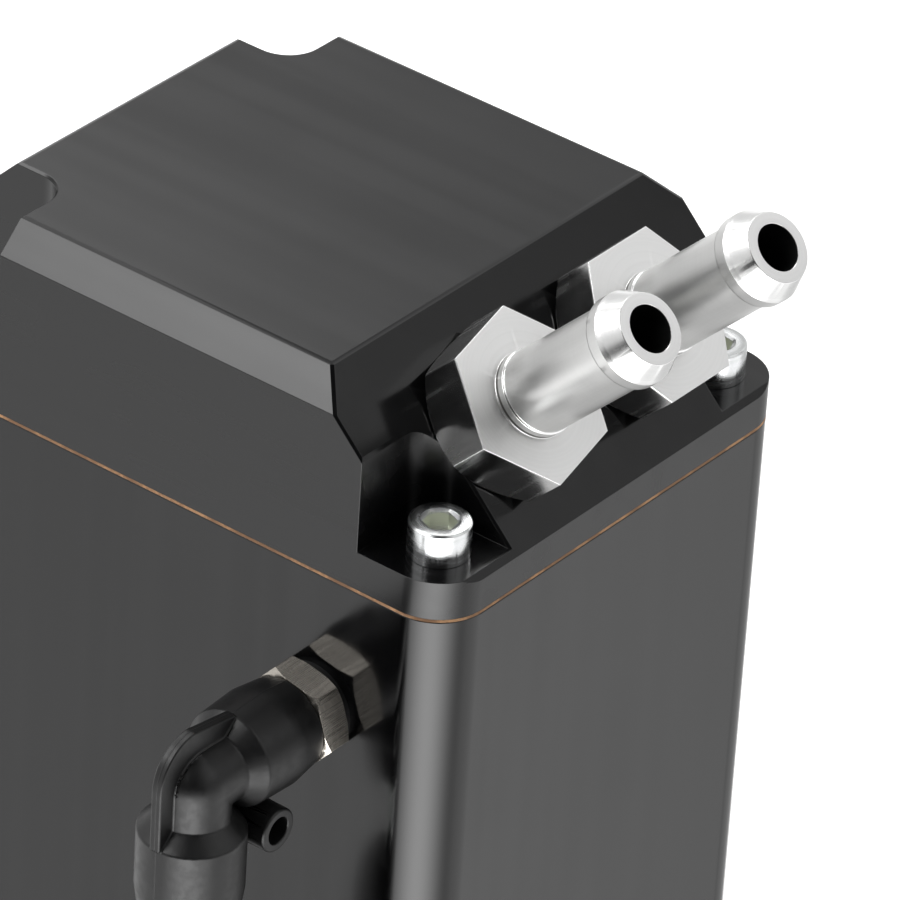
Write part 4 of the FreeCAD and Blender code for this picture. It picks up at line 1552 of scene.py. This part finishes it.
@dataclass
class Studio:
    """Camera, surrounding light and the pale floor.

    The room is brighter below the horizon than above it, and dimmer again straight down. The
    panels add light: the tall one on the left, the low one in front of the corner, one behind
    the lid, two over the barbs, and two weak ones low on either side of the corner. The screens
    take light away: behind the camera, overhead, low in front of the barbs, opposite the slope,
    low on the far right, and beside the corner.
    """

    target: Triple = (0.02302, -0.00322, 0.1155)
    back: Triple = (0.50070, -0.67494, 0.54199)
    distance: float = 1.26521
    roll: float = 3.66
    focal_length: float = 317.406
    sensor: float = 36.0
    far_limit: float = 20.0
    floor_half: float = 3.0
    floor_grey: float = 0.86
    floor_glow: float = 0.55
    nadir: float = 0.70
    nadir_ends: Pair = (-64.0, -46.0)
    low_room: float = 1.10
    high_room: float = 0.68
    horizon_ends: Pair = (-8.0, 6.0)
    panels: tuple[Panel, ...] = (
        Panel(-178.0, -88.0, 32.0, 62.0, 14.0, 12.0, 5.0),
        Panel(-120.0, 6.0, -56.0, -10.0, 62.0, 14.0, 5.0),
        Panel(125.9, 172.0, 29.2, 62.0, 6.0, 8.0, 3.0),
        Panel(60.0, 112.0, 12.0, 64.0, 8.0, 12.0, 0.4),
        Panel(0.0, 47.0, 24.0, 64.0, 10.0, 10.0, 0.4),
        Panel(-126.5, -115.5, -60.0, -20.0, 3.0, 6.0, 0.9),
        Panel(8.0, 80.0, -62.0, -12.0, 12.0, 10.0, 0.15),
    )
    screens: tuple[Panel, ...] = (
        Panel(-100.0, -12.0, -14.0, 98.0, 10.0, 8.0, 0.93),
        Panel(-190.0, 190.0, 68.0, 110.0, 5.0, 8.0, 0.9),
        Panel(-30.0, 60.0, -8.0, 20.0, 12.0, 8.0, 0.55),
        Panel(52.3, 62.0, 18.0, 40.0, 3.5, 6.0, 0.7),
        Panel(51.5, 110.0, -62.0, -8.0, 9.0, 8.0, 0.42),
        Panel(-117.0, -101.0, -60.0, -10.0, 5.0, 8.0, 0.7),
    )

    def camera(self) -> None:
        """Sets the camera at the photograph's angle."""
        back = Vector(self.back).normalized()
        right = Vector((0.0, 0.0, 1.0)).cross(back).normalized()
        up = back.cross(right)
        roll = math.radians(self.roll)
        across = math.cos(roll) * right + math.sin(roll) * up
        upward = math.cos(roll) * up - math.sin(roll) * right
        place = Vector(self.target) + back * self.distance
        data = bpy.data.cameras.new("studio_camera")
        data.sensor_width = self.sensor
        data.lens = self.focal_length
        data.clip_end = self.far_limit
        camera = place_object("studio_camera", data)
        camera.matrix_world = Matrix((
            (across.x, upward.x, back.x, place.x),
            (across.y, upward.y, back.y, place.y),
            (across.z, upward.z, back.z, place.z),
            (0.0, 0.0, 0.0, 1.0)))
        bpy.context.scene.camera = camera

    def world(self) -> None:
        """The studio all round, which only reflections and the light see: cameras see white."""
        world = bpy.data.worlds.new("studio_world")
        bpy.context.scene.world = world
        world.use_nodes = True
        book = NodeBook(world.node_tree)
        background = world.node_tree.nodes["Background"]
        split = book.add("SeparateXYZ", {0: book.add("TexCoord").outputs["Generated"]}).outputs
        azimuth = book.math("DEGREES", book.math("ARCTAN2", split[1], split[0]))
        elevation = book.math("DEGREES", book.math("ARCSINE", split[2]))
        level = book.spread(elevation, *self.horizon_ends, self.low_room, self.high_room)
        below = book.spread(elevation, *self.nadir_ends, self.low_room - self.nadir, 0.0)
        level = book.math("SUBTRACT", level, below)
        for panel in self.panels:
            light = book.math("MULTIPLY", panel.mask(book, azimuth, elevation), panel.strength)
            level = book.math("ADD", level, light)
        for screen in self.screens:
            shade = book.math("MULTIPLY", screen.mask(book, azimuth, elevation), screen.strength)
            level = book.math("MULTIPLY", level, book.math("SUBTRACT", 1.0, shade))
        book.feed(background.inputs["Strength"], book.mix(self.seen(book), level, 1.0))
        background.inputs["Color"].default_value = WHITE

    @staticmethod
    def seen(book: NodeBook) -> Socket:
        """Marks the rays that the camera sends, straight or through the clear tube.

        Args:
            book: The node book of the world or material.

        Returns:
            The mask, 1 on such a ray.
        """
        ray = book.add("LightPath").outputs
        return book.math("MAXIMUM", ray["Is Camera Ray"], ray["Is Transmission Ray"])

    def floor(self) -> None:
        """A pale floor that shows white and keeps the object's shadow."""
        half, grey = self.floor_half, self.floor_grey
        mesh = bpy.data.meshes.new("studio_floor")
        corners = [(-half, -half, 0.0), (half, -half, 0.0), (half, half, 0.0), (-half, half, 0.0)]
        mesh.from_pydata(corners, [], [(0, 1, 2, 3)])
        floor = place_object("studio_floor", mesh)
        material, book, shader = new_material("floor_paint", Roughness=0.9,
                                              Base_Color=(grey, grey, grey, 1.0),
                                              Emission_Color=WHITE)
        glow = book.math("MULTIPLY", self.seen(book), self.floor_glow)
        book.feed(shader.inputs["Emission Strength"], glow)
        mesh.materials.append(material)
        floor.visible_glossy = False

    def build(self) -> None:
        """Camera, light and floor, and the plain view transform."""
        self.camera()
        self.world()
        self.floor()
        bpy.context.scene.view_settings.view_transform = "Standard"
        log.info("studio ready")


def clear_leftovers() -> None:
    """Removes what a new scene holds besides the frame."""
    kept = set(frame["nodes"].values()) | set(frame["bodies"].values())
    for item in [o for o in bpy.data.objects if o not in kept]:
        bpy.data.objects.remove(item)


def main() -> None:
    """Builds and dresses every sub-assembly."""
    logging.basicConfig(level=logging.INFO, format="%(name)s %(message)s")
    clear_leftovers()
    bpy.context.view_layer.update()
    Studio().build()
    MilledBody().dress()
    HoseBarbs().dress()
    CornerScrews().dress()
    SightGauge().dress()
    InnerParts().dress()


if __name__ == "__main__":
    main()
